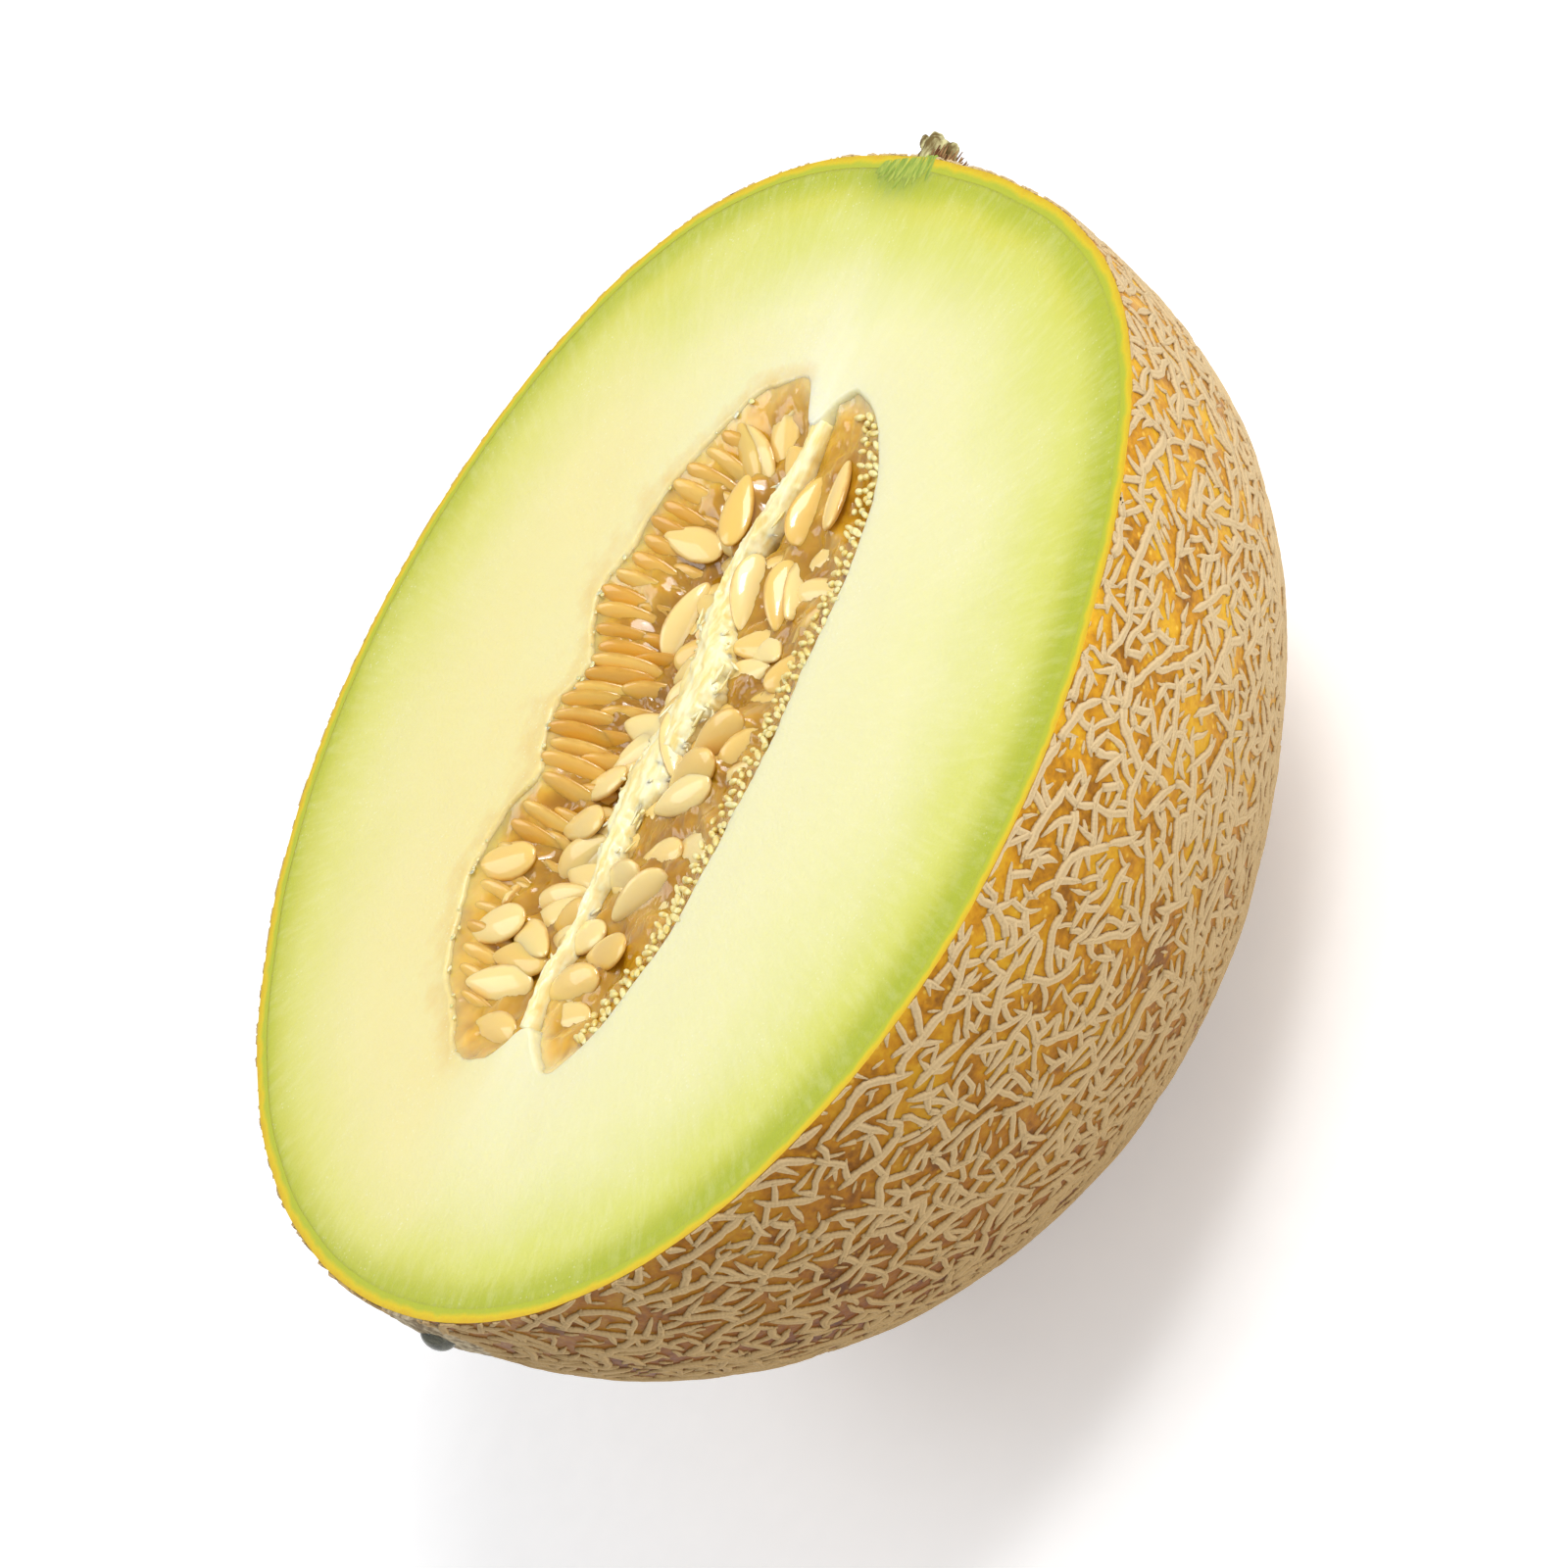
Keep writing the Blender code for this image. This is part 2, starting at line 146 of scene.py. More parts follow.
def set_shader(shader: bpy.types.Node, **values: object) -> None:
    """Sets the shader's sockets; an underscore stands for a space in a socket's name."""
    for key, value in values.items():
        shader.inputs[key.replace("_", " ")].default_value = value


def new_vertices(made: Iterable[object]) -> list[bmesh.types.BMVert]:
    """The vertices among what an operator made."""
    return [item for item in made if isinstance(item, bmesh.types.BMVert)]


def extrude_line(bm: bmesh.types.BMesh, edges: list[bmesh.types.BMEdge]
                 ) -> tuple[list[bmesh.types.BMVert], list[bmesh.types.BMEdge]]:
    """Extrudes a line of edges into a strip of faces.

    Args:
        bm: the mesh.
        edges: the edges to extrude.

    Returns:
        The new line's vertices and edges, still in the old line's place.
    """
    made = bmesh.ops.extrude_edge_only(bm, edges=edges)["geom"]
    verts = new_vertices(made)
    fresh = set(verts)
    lines = [item for item in made if isinstance(item, bmesh.types.BMEdge)
             and item.verts[0] in fresh and item.verts[1] in fresh]
    return verts, lines


def close_holes(bm: bmesh.types.BMesh) -> None:
    """Closes every open border and points the faces outwards."""
    border = [edge for edge in bm.edges if edge.is_boundary]
    if border:
        bmesh.ops.holes_fill(bm, edges=border, sides=0)
    bmesh.ops.recalc_face_normals(bm, faces=bm.faces[:])


def cut_off(bm: bmesh.types.BMesh, height: float) -> None:
    """Cuts away what stands above height, in mm."""
    bmesh.ops.bisect_plane(bm, geom=bm.verts[:] + bm.edges[:] + bm.faces[:],
                           plane_co=(0, 0, height), plane_no=(0, 0, 1), clear_outer=True)


def drop_open_parts(bm: bmesh.types.BMesh) -> None:
    """Deletes the separate parts of a mesh that a cut has left open."""
    queue = [vert for vert in bm.verts if vert.is_boundary]
    seen = set(queue)
    while queue:
        vert = queue.pop()
        fresh = [edge.other_vert(vert) for edge in vert.link_edges]
        fresh = [other for other in fresh if other not in seen]
        seen.update(fresh)
        queue += fresh
    bmesh.ops.delete(bm, geom=list(seen), context="VERTS")


def finish_piece(bm: bmesh.types.BMesh, name: str, materials: list[bpy.types.Material],
                 slot: Slot, *nodes: str) -> bpy.types.Object:
    """Turns a mesh in mm into a piece of the object.

    Args:
        bm: the mesh, in mm in the part's frame; it is freed.
        name: the piece's name.
        materials: its materials, in the order of the faces' numbers.
        slot: the record's slot for its finish; not used.
        nodes: the CAD nodes that it replaces.

    Returns:
        The piece.
    """
    for face in bm.faces:
        face.smooth = True
    for edge in bm.edges:
        if edge.calc_face_angle(0.0) > 0.9 and all(vert.co.z > CUT_HEIGHT - 0.2 for vert in edge.verts):
            edge.smooth = False  # the knife leaves a crisp edge
    bmesh.ops.scale(bm, vec=(METRES, METRES, METRES), verts=bm.verts[:])
    mesh = bpy.data.meshes.new(name)
    bm.to_mesh(mesh)
    bm.free()
    for material in materials:
        mesh.materials.append(material)
    piece = bpy.data.objects.new(name, mesh)
    bpy.context.scene.collection.objects.link(piece)
    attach(piece, "root")
    if nodes:
        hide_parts(*nodes)
    LOG.info("%s: %d triangles", name, sum(len(face.vertices) - 2 for face in mesh.polygons))
    return piece


@dataclass(frozen=True)
class FruitForm:
    """The grown form of the whole fruit about its middle: +X is the stem end.

    Every direction is a unit vector from the middle of the fruit.
    """

    mean_radius: float = 75.8
    waves: tuple[tuple[int, float], ...] = (
        (2, 0.0327), (3, -0.0101), (4, -0.0117), (5, -0.0072), (6, -0.0043))
    lean: float = 0.0459

    def radius(self, way: Vector) -> float:
        """The distance of the skin from the middle, along way."""
        turn = math.acos(max(-1.0, min(1.0, way.x)))
        share = sum(part * math.cos(order * turn) for order, part in self.waves)
        return self.mean_radius * (1 + share + 2 * self.lean * way.x * way.y)

    def point(self, way: Vector, out: float = 0.0) -> Vector:
        """The point out mm outside the skin along way, kept above the floor."""
        place = MIDDLE + way * (self.radius(way) + out)
        place.z = max(place.z, 0.0)
        return place


@dataclass
class CrackGrowth:
    """Grows the net as a melon's skin cracks while it swells.

    Long cracks run mostly from stem to blossom end, cross cracks branch from cracks and stop at
    the next one, and flecks open in the cells that are left. All run on the unit sphere.
    """

    seed: int = 3
    step: float = 0.8
    scale: float = 75.8
    rim: float = 0.03
    long_throws: int = 3200
    long_gap: float = 2.5
    cross_throws: int = 26000
    fleck_throws: int = 30000
    fleck_gap: float = 1.0
    stop_at: float = 0.62
    axis: Vector = field(default_factory=lambda: Vector((1.0, 0.07, -0.04)).normalized())
    lines: list[tuple[Ridge, list[Vector], bool, bool]] = field(default_factory=list)
    cells: dict[tuple[int, int, int], list[tuple[Vector, int]]] = field(default_factory=dict)
    dice: random.Random = field(init=False)

    def __post_init__(self) -> None:
        """Seeds the dice."""
        self.dice = random.Random(self.seed)

    def key(self, place: Vector) -> tuple[int, int, int]:
        """The cell of the search grid that holds place."""
        size = 1.6 / self.scale
        return (math.floor(place.x / size), math.floor(place.y / size), math.floor(place.z / size))

    def nearest(self, place: Vector, reach: float, skip: int = -1) -> tuple[Vector, int] | None:
        """Finds the nearest crack.

        Args:
            place: where to look from.
            reach: how far to look, in mm.
            skip: a line that isn't counted.

        Returns:
            The nearest crack's point and line, or None.
        """
        limit = (reach / self.scale) ** 2
        cells = 1 if reach <= 1.6 else 2
        i, j, k = self.key(place)
        best = None
        for a in range(i - cells, i + cells + 1):
            for b in range(j - cells, j + cells + 1):
                for c in range(k - cells, k + cells + 1):
                    for point, line in self.cells.get((a, b, c), ()):
                        if line == skip:
                            continue
                        gap = (place - point).length_squared
                        if gap < limit:
                            limit = gap
                            best = (point, line)
        return best

    def frame_at(self, place: Vector) -> tuple[Vector, Vector]:
        """The directions along and across the fruit at place."""
        along = (self.axis - place * self.axis.dot(place)).normalized()
        return along, place.cross(along)

    def heading(self, place: Vector, turn: float) -> Vector:
        """The direction at turn radians from the fruit's length."""
        along, across = self.frame_at(place)
        return along * math.cos(turn) + across * math.sin(turn)

    def grow(self, start: Vector, way: Vector, line: int, length: float, wander: float,
             pull: float, parent: int = -1) -> tuple[list[Vector], bool]:
        """Grows one crack until it is long enough or meets another.

        Args:
            start: where it starts.
            way: its first direction.
            line: its number.
            length: its length in mm.
            wander: how much it turns in a step, in radians.
            pull: the share by which it turns back to the fruit's length in a step.
            parent: the crack that it branches from, or -1.

        Returns:
            Its points, and whether it met another.
        """
        points = [start]
        place = start
        bend = self.dice.gauss(0.0, 0.02)
        for count in range(int(length / self.step)):
            place = (place + way * (self.step / self.scale)).normalized()
            if place.z > self.rim:
                points.append(place)
                break
            along, across = self.frame_at(place)
            turn = math.atan2(way.dot(across), way.dot(along))
            off = (turn + math.pi / 2) % math.pi - math.pi / 2
            turn += bend - off * pull + self.dice.gauss(0.0, wander)
            way = along * math.cos(turn) + across * math.sin(turn)
            met = self.nearest(place, self.stop_at, line)
            if met and not (met[1] == parent and count * self.step < 1.2):
                points.append(met[0])
                return points, True
            points.append(place)
        return points, False

    def keep(self, kind: Ridge, points: list[Vector], ends: tuple[bool, bool]) -> None:
        """Adds a crack to the net and to the search grid."""
        number = len(self.lines)
        self.lines.append((kind, points, ends[0], ends[1]))
        for point in points:
            self.cells.setdefault(self.key(point), []).append((point, number))

    def somewhere(self) -> Vector:
        """A random direction on the half."""
        while True:
            way = Vector([self.dice.gauss(0.0, 1.0) for _ in range(3)]).normalized()
            if way.z < self.rim:
                return way

    def two_ways(self, kind: Ridge, gap: float, turn: float, length: float, wander: float,
                 pull: float) -> None:
        """Grows a crack both ways from a random point, if that is free.

        Args:
            kind: the kind of ridge.
            gap: how far other cracks have to be, in mm.
            turn: how far it may start from the fruit's length, in radians.
            length: its length each way, in mm.
            wander: how much it turns in a step, in radians.
            pull: the share by which it turns back in a step.
        """
        start = self.somewhere()
        if self.nearest(start, gap):
            return
        number = len(self.lines)
        first, met_first = self.grow(start, self.heading(start, turn), number, length, wander, pull)
        back = self.heading(start, turn + math.pi)
        second, met_second = self.grow(start, back, number, length, wander, pull)
        points = second[::-1] + first[1:]
        if len(points) >= 3:
            self.keep(kind, points, (met_second, met_first))

    def branch(self) -> None:
        """Grows a cross crack from a random crack, if there is room ahead."""
        parent = self.dice.randrange(len(self.lines))
        points = self.lines[parent][1]
        at = self.dice.randrange(1, len(points) - 1)
        start = points[at]
        ahead = points[at + 1] - start
        turn = math.radians(self.dice.uniform(38.0, 90.0)) * self.dice.choice((-1, 1))
        length = self.dice.uniform(2.0, 6.0)
        if ahead.length < 1e-6:
            return
        way = Matrix.Rotation(turn, 3, start) @ ahead.normalized()
        probe = (start + way * (1.5 / self.scale)).normalized()
        if probe.z > self.rim or self.nearest(probe, 1.2, parent) or self.nearest(probe, 0.95):
            return
        line, met = self.grow(start, way, len(self.lines), length, 0.19, 0.01, parent)
        if len(line) >= 3:
            self.keep(Ridge.CROSS, line, (True, met))

    def run(self) -> list[tuple[Ridge, list[Vector], bool, bool]]:
        """Grows the whole net.

        Returns:
            The ridges: kind, points on the unit sphere, and whether either end meets another.
        """
        for _ in range(self.long_throws):
            self.two_ways(Ridge.LONG, self.long_gap, self.dice.gauss(0.0, 0.6),
                          self.dice.uniform(2.2, 7.5), 0.19, 0.05)
        for _ in range(self.cross_throws):
            self.branch()
        for _ in range(self.fleck_throws):
            self.two_ways(Ridge.FLECK, self.fleck_gap, self.dice.uniform(-1.3, 1.3),
                          self.dice.uniform(0.8, 2.0), 0.08, 0.0)
        return self.lines


@dataclass(frozen=True)
class WaxySkin:
    """The cuticle of a ripe netted melon: a thin wax over amber skin.

    To the eye it is deep yellow, a little glossy, mottled, with pale pin pricks in its cells.
    """

    light: str = "#DAA61A"
    middle: str = "#C5870A"
    deep: str = "#8C5806"
    prick: str = "#E8BE48"
    # The colour that the painted shade multiplies the skin by, towards the blossom end and below.
    shade: str = "#8C6A1E"
    mottle: float = 7.0
    grain: float = 0.9
    pricks: float = 1.5

    def build(self) -> bpy.types.Material:
        """The material."""
        material, tree, shader = new_material("waxy_melon_skin")
        place = add(tree, "ShaderNodeTexCoord").outputs["Object"]
        broad = add(tree, "ShaderNodeTexNoise", {"Scale": per_metre(self.mottle), "Detail": 4.0},
                    {"Vector": place})
        fine = add(tree, "ShaderNodeTexNoise", {"Scale": per_metre(self.grain), "Detail": 3.0},
                   {"Vector": place})
        both = add(tree, "ShaderNodeMath", {"operation": "MULTIPLY_ADD", 1: 0.45},
                   {0: fine.outputs[0], 2: broad.outputs[0]})
        colour = add(tree, "ShaderNodeValToRGB",
                     {"ramp": ((0.52, self.deep), (0.70, self.middle), (0.88, self.light))},
                     {"Fac": both.outputs[0]})
        dots = add(tree, "ShaderNodeTexVoronoi", {"Scale": per_metre(self.pricks)}, {"Vector": place})
        mask = add(tree, "ShaderNodeMapRange", {1: 0.10, 2: 0.24, 3: 0.75, 4: 0.0},
                   {0: dots.outputs["Distance"]})
        pricked = add(tree, "ShaderNodeMix", {"data_type": "RGBA", 7: linear(self.prick)},
                      {0: mask.outputs[0], 6: colour.outputs[0]})
        split = add(tree, "ShaderNodeSeparateXYZ", links={0: place})
        # Painted shade: darker towards the blossom end and below, partly the skin's deeper colour there,
        # mostly the side away from the lights.
        low = add(tree, "ShaderNodeMath", {"operation": "MULTIPLY_ADD", 1: 0.75},
                  {0: split.outputs["X"], 2: split.outputs["Z"]})
        shade = add(tree, "ShaderNodeMapRange", {1: 0.072, 2: 0.0, 3: 0.0, 4: 0.95},
                    {0: low.outputs[0]})
        shaded = add(tree, "ShaderNodeMix",
                     {"data_type": "RGBA", "blend_type": "MULTIPLY", 7: linear(self.shade)},
                     {0: shade.outputs[0], 6: pricked.outputs[2]})
        bump = add(tree, "ShaderNodeBump", {"Strength": 0.35, "Distance": 0.3 * METRES},
                   {"Height": fine.outputs[0]})
        link_finish(tree, shader, shaded.outputs[2], bump)
        set_shader(shader, Roughness=0.42, Specular_IOR_Level=0.14, Subsurface_Weight=0.2,
                   Subsurface_Scale=1.2 * METRES, Subsurface_Radius=(1.0, 0.55, 0.12),
                   Coat_Weight=0.02, Coat_Roughness=0.3)
        return material


@dataclass(frozen=True)
class CorkNet:
    """Suberised cork that healed the cracks in the skin, dry and matt.

    To the eye each ridge is cream at its shoulders and greyer along its middle, with fine
    cracks across it.
    """

    # The foot's dark brown is painted shade in the crease where a ridge meets the skin.
    foot: str = "#744A10"
    shoulder: str = "#D5BB8E"
    crown: str = "#C3A97E"
    # The colour that the painted shade multiplies the ridges by, towards the blossom end and below.
    shade: str = "#D0C4AC"
    crack: float = 0.5
    grain: float = 0.35

    def build(self) -> bpy.types.Material:
        """The material."""
        material, tree, shader = new_material("cork_net")
        place = add(tree, "ShaderNodeTexCoord").outputs["Object"]
        across = add(tree, "ShaderNodeAttribute", {"attribute_name": "crown"})
        along = add(tree, "ShaderNodeAttribute", {"attribute_name": "along"})
        grain = add(tree, "ShaderNodeTexNoise", {"Scale": per_metre(self.grain), "Detail": 2.0},
                    {"Vector": place})
        wobble = add(tree, "ShaderNodeMath", {"operation": "MULTIPLY_ADD", 1: 0.35, 2: -0.18},
                     {0: grain.outputs[0]})
        level = add(tree, "ShaderNodeMath", {"operation": "ADD"},
                    {0: across.outputs["Fac"], 1: wobble.outputs[0]})
        # From the foot's painted shade at the ridge's base to the cream shoulders and the greyer crown.
        colour = add(tree, "ShaderNodeValToRGB",
                     {"ramp": ((0.10, self.foot), (0.38, self.shoulder), (0.62, self.shoulder),
                               (0.95, self.crown))},
                     {"Fac": level.outputs[0]})
        # Painted shade: the ridges are darker towards the blossom end and below, on the side away from
        # the lights.
        split = add(tree, "ShaderNodeSeparateXYZ", links={0: place})
        low = add(tree, "ShaderNodeMath", {"operation": "MULTIPLY_ADD", 1: 0.75},
                  {0: split.outputs["X"], 2: split.outputs["Z"]})
        shade = add(tree, "ShaderNodeMapRange", {1: 0.072, 2: 0.0, 3: 0.0, 4: 0.9},
                    {0: low.outputs[0]})
        shaded = add(tree, "ShaderNodeMix",
                     {"data_type": "RGBA", "blend_type": "MULTIPLY", 7: linear(self.shade)},
                     {0: shade.outputs[0], 6: colour.outputs[0]})
        stripes = add(tree, "ShaderNodeMath", {"operation": "MULTIPLY", 1: 2 * math.pi / self.crack},
                      {0: along.outputs["Fac"]})
        waves = add(tree, "ShaderNodeMath", {"operation": "SINE"}, {0: stripes.outputs[0]})
        height = add(tree, "ShaderNodeMath", {"operation": "MULTIPLY_ADD", 1: 0.2},
                     {0: waves.outputs[0], 2: grain.outputs[0]})
        bump = add(tree, "ShaderNodeBump", {"Strength": 0.5, "Distance": 0.15 * METRES},
                   {"Height": height.outputs[0]})
        link_finish(tree, shader, shaded.outputs[2], bump)
        set_shader(shader, Roughness=0.82, Specular_IOR_Level=0.25)
        return material


@dataclass(frozen=True)
class CutRind:
    """The rind where the knife went through it: firm, moist, full of yellow pigment.

    To the eye it is a bright yellow line that fades into the green of the flesh.
    """

    outside: str = "#D8B006"
    heart: str = "#DEC40A"
    inside: str = "#B6BE28"

    def build(self) -> bpy.types.Material:
        """The material."""
        material, tree, shader = new_material("cut_melon_rind")
        place = add(tree, "ShaderNodeTexCoord").outputs["Object"]
        depth = add(tree, "ShaderNodeAttribute", {"attribute_name": "depth"})
        patchy = add(tree, "ShaderNodeTexNoise", {"Scale": per_metre(3.0), "Detail": 3.0},
                     {"Vector": place})
        moved = add(tree, "ShaderNodeMath", {"operation": "MULTIPLY_ADD", 1: 0.7, 2: -0.35},
                    {0: patchy.outputs[0]})
        level = add(tree, "ShaderNodeMath", {"operation": "ADD"},
                    {0: depth.outputs["Fac"], 1: moved.outputs[0]})
        colour = add(tree, "ShaderNodeValToRGB",
                     {"ramp": ((0.0, self.outside), (0.4, self.heart), (0.72, self.inside))},
                     {"Fac": level.outputs[0]})
        fine = add(tree, "ShaderNodeTexNoise", {"Scale": per_metre(0.6)}, {"Vector": place})
        bump = add(tree, "ShaderNodeBump", {"Strength": 0.3, "Distance": 0.2 * METRES},
                   {"Height": fine.outputs[0]})
        link_finish(tree, shader, colour.outputs[0], bump)
        set_shader(shader, Roughness=0.34, Subsurface_Weight=0.4, Subsurface_Scale=0.5 * METRES,
                   Subsurface_Radius=(1.0, 0.8, 0.3), Coat_Weight=0.2, Coat_Roughness=0.15)
        return material


@dataclass(frozen=True)
class CutFlesh:
    """Ripe melon flesh, cut and wet: thin-walled cells full of clear juice.

    To the eye it is soft and translucent, green at the rind, then pale lime, then cream at the
    core, with fine lighter fibres, wet grains with painted glints and a low sheen of juice.
    """

    bands: tuple[tuple[float, str], ...] = (
        (0.0, "#C6C832"), (0.06, "#CBCD3A"), (0.13, "#D5D351"), (0.22, "#D6D766"), (0.32, "#DADB76"),
        (0.43, "#E0DF8C"), (0.54, "#E5E39D"), (0.66, "#EAE6AA"), (1.0, "#ECE6B6"))
    deep: str = "#A2B01E"
    warm: str = "#EFDF96"
    fibre: str = "#F4F1C8"
    stain: str = "#86A02A"
    soaked: str = "#E7C67A"

    def build(self) -> bpy.types.Material:
        """The material."""
        material, tree, shader = new_material("cut_melon_flesh")
        place = add(tree, "ShaderNodeTexCoord").outputs["Object"]
        inward = add(tree, "ShaderNodeAttribute", {"attribute_name": "inward"})
        grain = add(tree, "ShaderNodeAttribute", {"attribute_name": "grain"})
        clouds = add(tree, "ShaderNodeTexNoise", {"Scale": per_metre(15.0), "Detail": 5.0},
                     {"Vector": place})
        moved = add(tree, "ShaderNodeMath", {"operation": "MULTIPLY_ADD", 1: 0.30, 2: -0.15},
                    {0: clouds.outputs[0]})
        level = add(tree, "ShaderNodeMath", {"operation": "ADD"},
                    {0: inward.outputs["Fac"], 1: moved.outputs[0]})
        colour = add(tree, "ShaderNodeValToRGB", {"ramp": self.bands}, {"Fac": level.outputs[0]})
        green = add(tree, "ShaderNodeAttribute", {"attribute_name": "green"})
        greened = add(tree, "ShaderNodeMix", {"data_type": "RGBA", 7: linear(self.deep)},
                      {0: green.outputs["Fac"], 6: colour.outputs[0]})
        # Fibres run from the rind to the core, about 1 mm apart.
        fibres = add(tree, "ShaderNodeTexNoise", {"Scale": 1.0, "Detail": 4.0, "Roughness": 0.65},
                     {"Vector": grain.outputs["Vector"]})
        strands = add(tree, "ShaderNodeMapRange", {1: 0.46, 2: 0.78, 3: 0.0, 4: 0.22},
                      {0: fibres.outputs[0]})
        fibrous = add(tree, "ShaderNodeMix", {"data_type": "RGBA", 7: linear(self.fibre)},
                      {0: strands.outputs[0], 6: greened.outputs[2]})
        # The half behind the cavity is warmer.
        split = add(tree, "ShaderNodeSeparateXYZ", links={0: place})
        leaning = add(tree, "ShaderNodeMath", {"operation": "MULTIPLY_ADD", 1: -0.35},
                      {0: split.outputs["X"], 2: split.outputs["Y"]})
        patches = add(tree, "ShaderNodeMath", {"operation": "MULTIPLY_ADD", 1: 0.05},
                      {0: clouds.outputs[0], 2: leaning.outputs[0]})
        warmth = add(tree, "ShaderNodeMapRange", {1: 0.024, 2: 0.062, 3: 0.0, 4: 0.85},
                     {0: patches.outputs[0]})
        warmed = add(tree, "ShaderNodeMath", {"operation": "MULTIPLY"},
                     {0: warmth.outputs[0], 1: inward.outputs["Fac"]})
        tinted = add(tree, "ShaderNodeMix", {"data_type": "RGBA", 7: linear(self.warm)},
                     {0: warmed.outputs[0], 6: fibrous.outputs[2]})
        # Juice from the seeds soaks into the flesh along the far rim.
        wetting = add(tree, "ShaderNodeTexNoise", {"Scale": per_metre(3.5), "Detail": 3.0},
                      {"Vector": place})
        soaking = add(tree, "ShaderNodeMath", {"operation": "MULTIPLY_ADD", 1: 0.22},
                      {0: wetting.outputs[0], 2: inward.outputs["Fac"]})
        soak = add(tree, "ShaderNodeMapRange", {1: 1.03, 2: 1.15, 3: 0.0, 4: 0.85},
                   {0: soaking.outputs[0]})
        behind = add(tree, "ShaderNodeMapRange", {1: 0.002, 2: 0.008}, {0: split.outputs["Y"]})
        soaks = add(tree, "ShaderNodeMath", {"operation": "MULTIPLY"},
                    {0: soak.outputs[0], 1: behind.outputs[0]})
        ambered = add(tree, "ShaderNodeMix", {"data_type": "RGBA", 7: linear(self.soaked)},
                      {0: soaks.outputs[0], 6: tinted.outputs[2]})
        core = add(tree, "ShaderNodeAttribute", {"attribute_name": "core"})
        vein = add(tree, "ShaderNodeMath", {"operation": "MULTIPLY", 1: 0.8, "use_clamp": True},
                   {0: core.outputs["Fac"]})
        veined = add(tree, "ShaderNodeMix", {"data_type": "RGBA", 7: linear("#F8F5DA")},
                     {0: vein.outputs[0], 6: ambered.outputs[2]})
        stain = add(tree, "ShaderNodeAttribute", {"attribute_name": "stain"})
        streaky = add(tree, "ShaderNodeMath", {"operation": "MULTIPLY", 1: 1.6},
                      {0: stain.outputs["Fac"]})
        streaks = add(tree, "ShaderNodeMath", {"operation": "MULTIPLY", "use_clamp": True},
                      {0: streaky.outputs[0], 1: fibres.outputs[0]})
        stained = add(tree, "ShaderNodeMix", {"data_type": "RGBA", 7: linear(self.stain)},
                      {0: streaks.outputs[0], 6: veined.outputs[2]})
        # Painted highlights: near-white specks on the wet grains stand in for glints of light; the
        # grains also raise the bump.
        wet = add(tree, "ShaderNodeTexVoronoi", {"Scale": per_metre(0.75)}, {"Vector": place})
        patchy = add(tree, "ShaderNodeMapRange", {1: 0.45, 2: 0.65, 3: 0.0, 4: 0.45},
                     {0: clouds.outputs[0]})
        beads = add(tree, "ShaderNodeMapRange", {1: 0.08, 2: 0.2, 4: 0.0},
                    {0: wet.outputs["Distance"], 3: patchy.outputs[0]})
        painted_glints = add(tree, "ShaderNodeMix", {"data_type": "RGBA", 7: linear("#FBFBE6")},
                      {0: beads.outputs[0], 6: stained.outputs[2]})
        cells = add(tree, "ShaderNodeTexNoise", {"Scale": per_metre(0.55), "Detail": 2.0},
                    {"Vector": place})
        height = add(tree, "ShaderNodeMath", {"operation": "MULTIPLY_ADD", 1: 0.5},
                     {0: beads.outputs[0], 2: cells.outputs[0]})
        bump = add(tree, "ShaderNodeBump", {"Strength": 0.4, "Distance": 0.22 * METRES},
                   {"Height": height.outputs[0]})
        link_finish(tree, shader, painted_glints.outputs[2], bump)
        set_shader(shader, Roughness=0.36, Subsurface_Weight=0.6, Subsurface_Scale=3.0 * METRES,
                   Subsurface_Radius=(1.0, 0.95, 0.45), Coat_Weight=0.25, Coat_Roughness=0.12)
        return material


@dataclass(frozen=True)
class SeedCoat:
    """The leathery coat of a melon seed under a film of juice.

    To the eye it is smooth, cream to honey, deeper at its edge and tip, and wet.
    """

    name: str = "wet_seed_coat"
    face: str = "#F8DE96"
    honey: str = "#EDC464"
    edge: str = "#C08418"

    def build(self) -> bpy.types.Material:
        """The material."""
        material, tree, shader = new_material(self.name)
        place = add(tree, "ShaderNodeTexCoord").outputs["Object"]
        tone = add(tree, "ShaderNodeAttribute", {"attribute_name": "tone"})
        margin = add(tree, "ShaderNodeAttribute", {"attribute_name": "margin"})
        colour = add(tree, "ShaderNodeMix",
                     {"data_type": "RGBA", 6: linear(self.face), 7: linear(self.honey)},
                     {0: tone.outputs["Fac"]})
        veins = add(tree, "ShaderNodeTexNoise", {"Scale": per_metre(1.6), "Detail": 3.0},
                    {"Vector": place})
        reach = add(tree, "ShaderNodeMath", {"operation": "MULTIPLY_ADD", 1: 0.5},
                    {0: veins.outputs[0], 2: margin.outputs["Fac"]})
        rim = add(tree, "ShaderNodeMapRange", {1: 0.85, 2: 1.35, 3: 0.0, 4: 0.85}, {0: reach.outputs[0]})
        edged = add(tree, "ShaderNodeMix", {"data_type": "RGBA", 7: linear(self.edge)},
                    {0: rim.outputs[0], 6: colour.outputs[2]})
        bump = add(tree, "ShaderNodeBump", {"Strength": 0.18, "Distance": 0.3 * METRES},
                   {"Height": veins.outputs[0]})
        link_finish(tree, shader, edged.outputs[2], bump)
        set_shader(shader, Roughness=0.3, Specular_IOR_Level=0.3, Subsurface_Weight=0.3,
                   Subsurface_Scale=1.2 * METRES, Subsurface_Radius=(1.0, 0.8, 0.3),
                   Coat_Weight=1.0, Coat_Roughness=0.05)
        return material


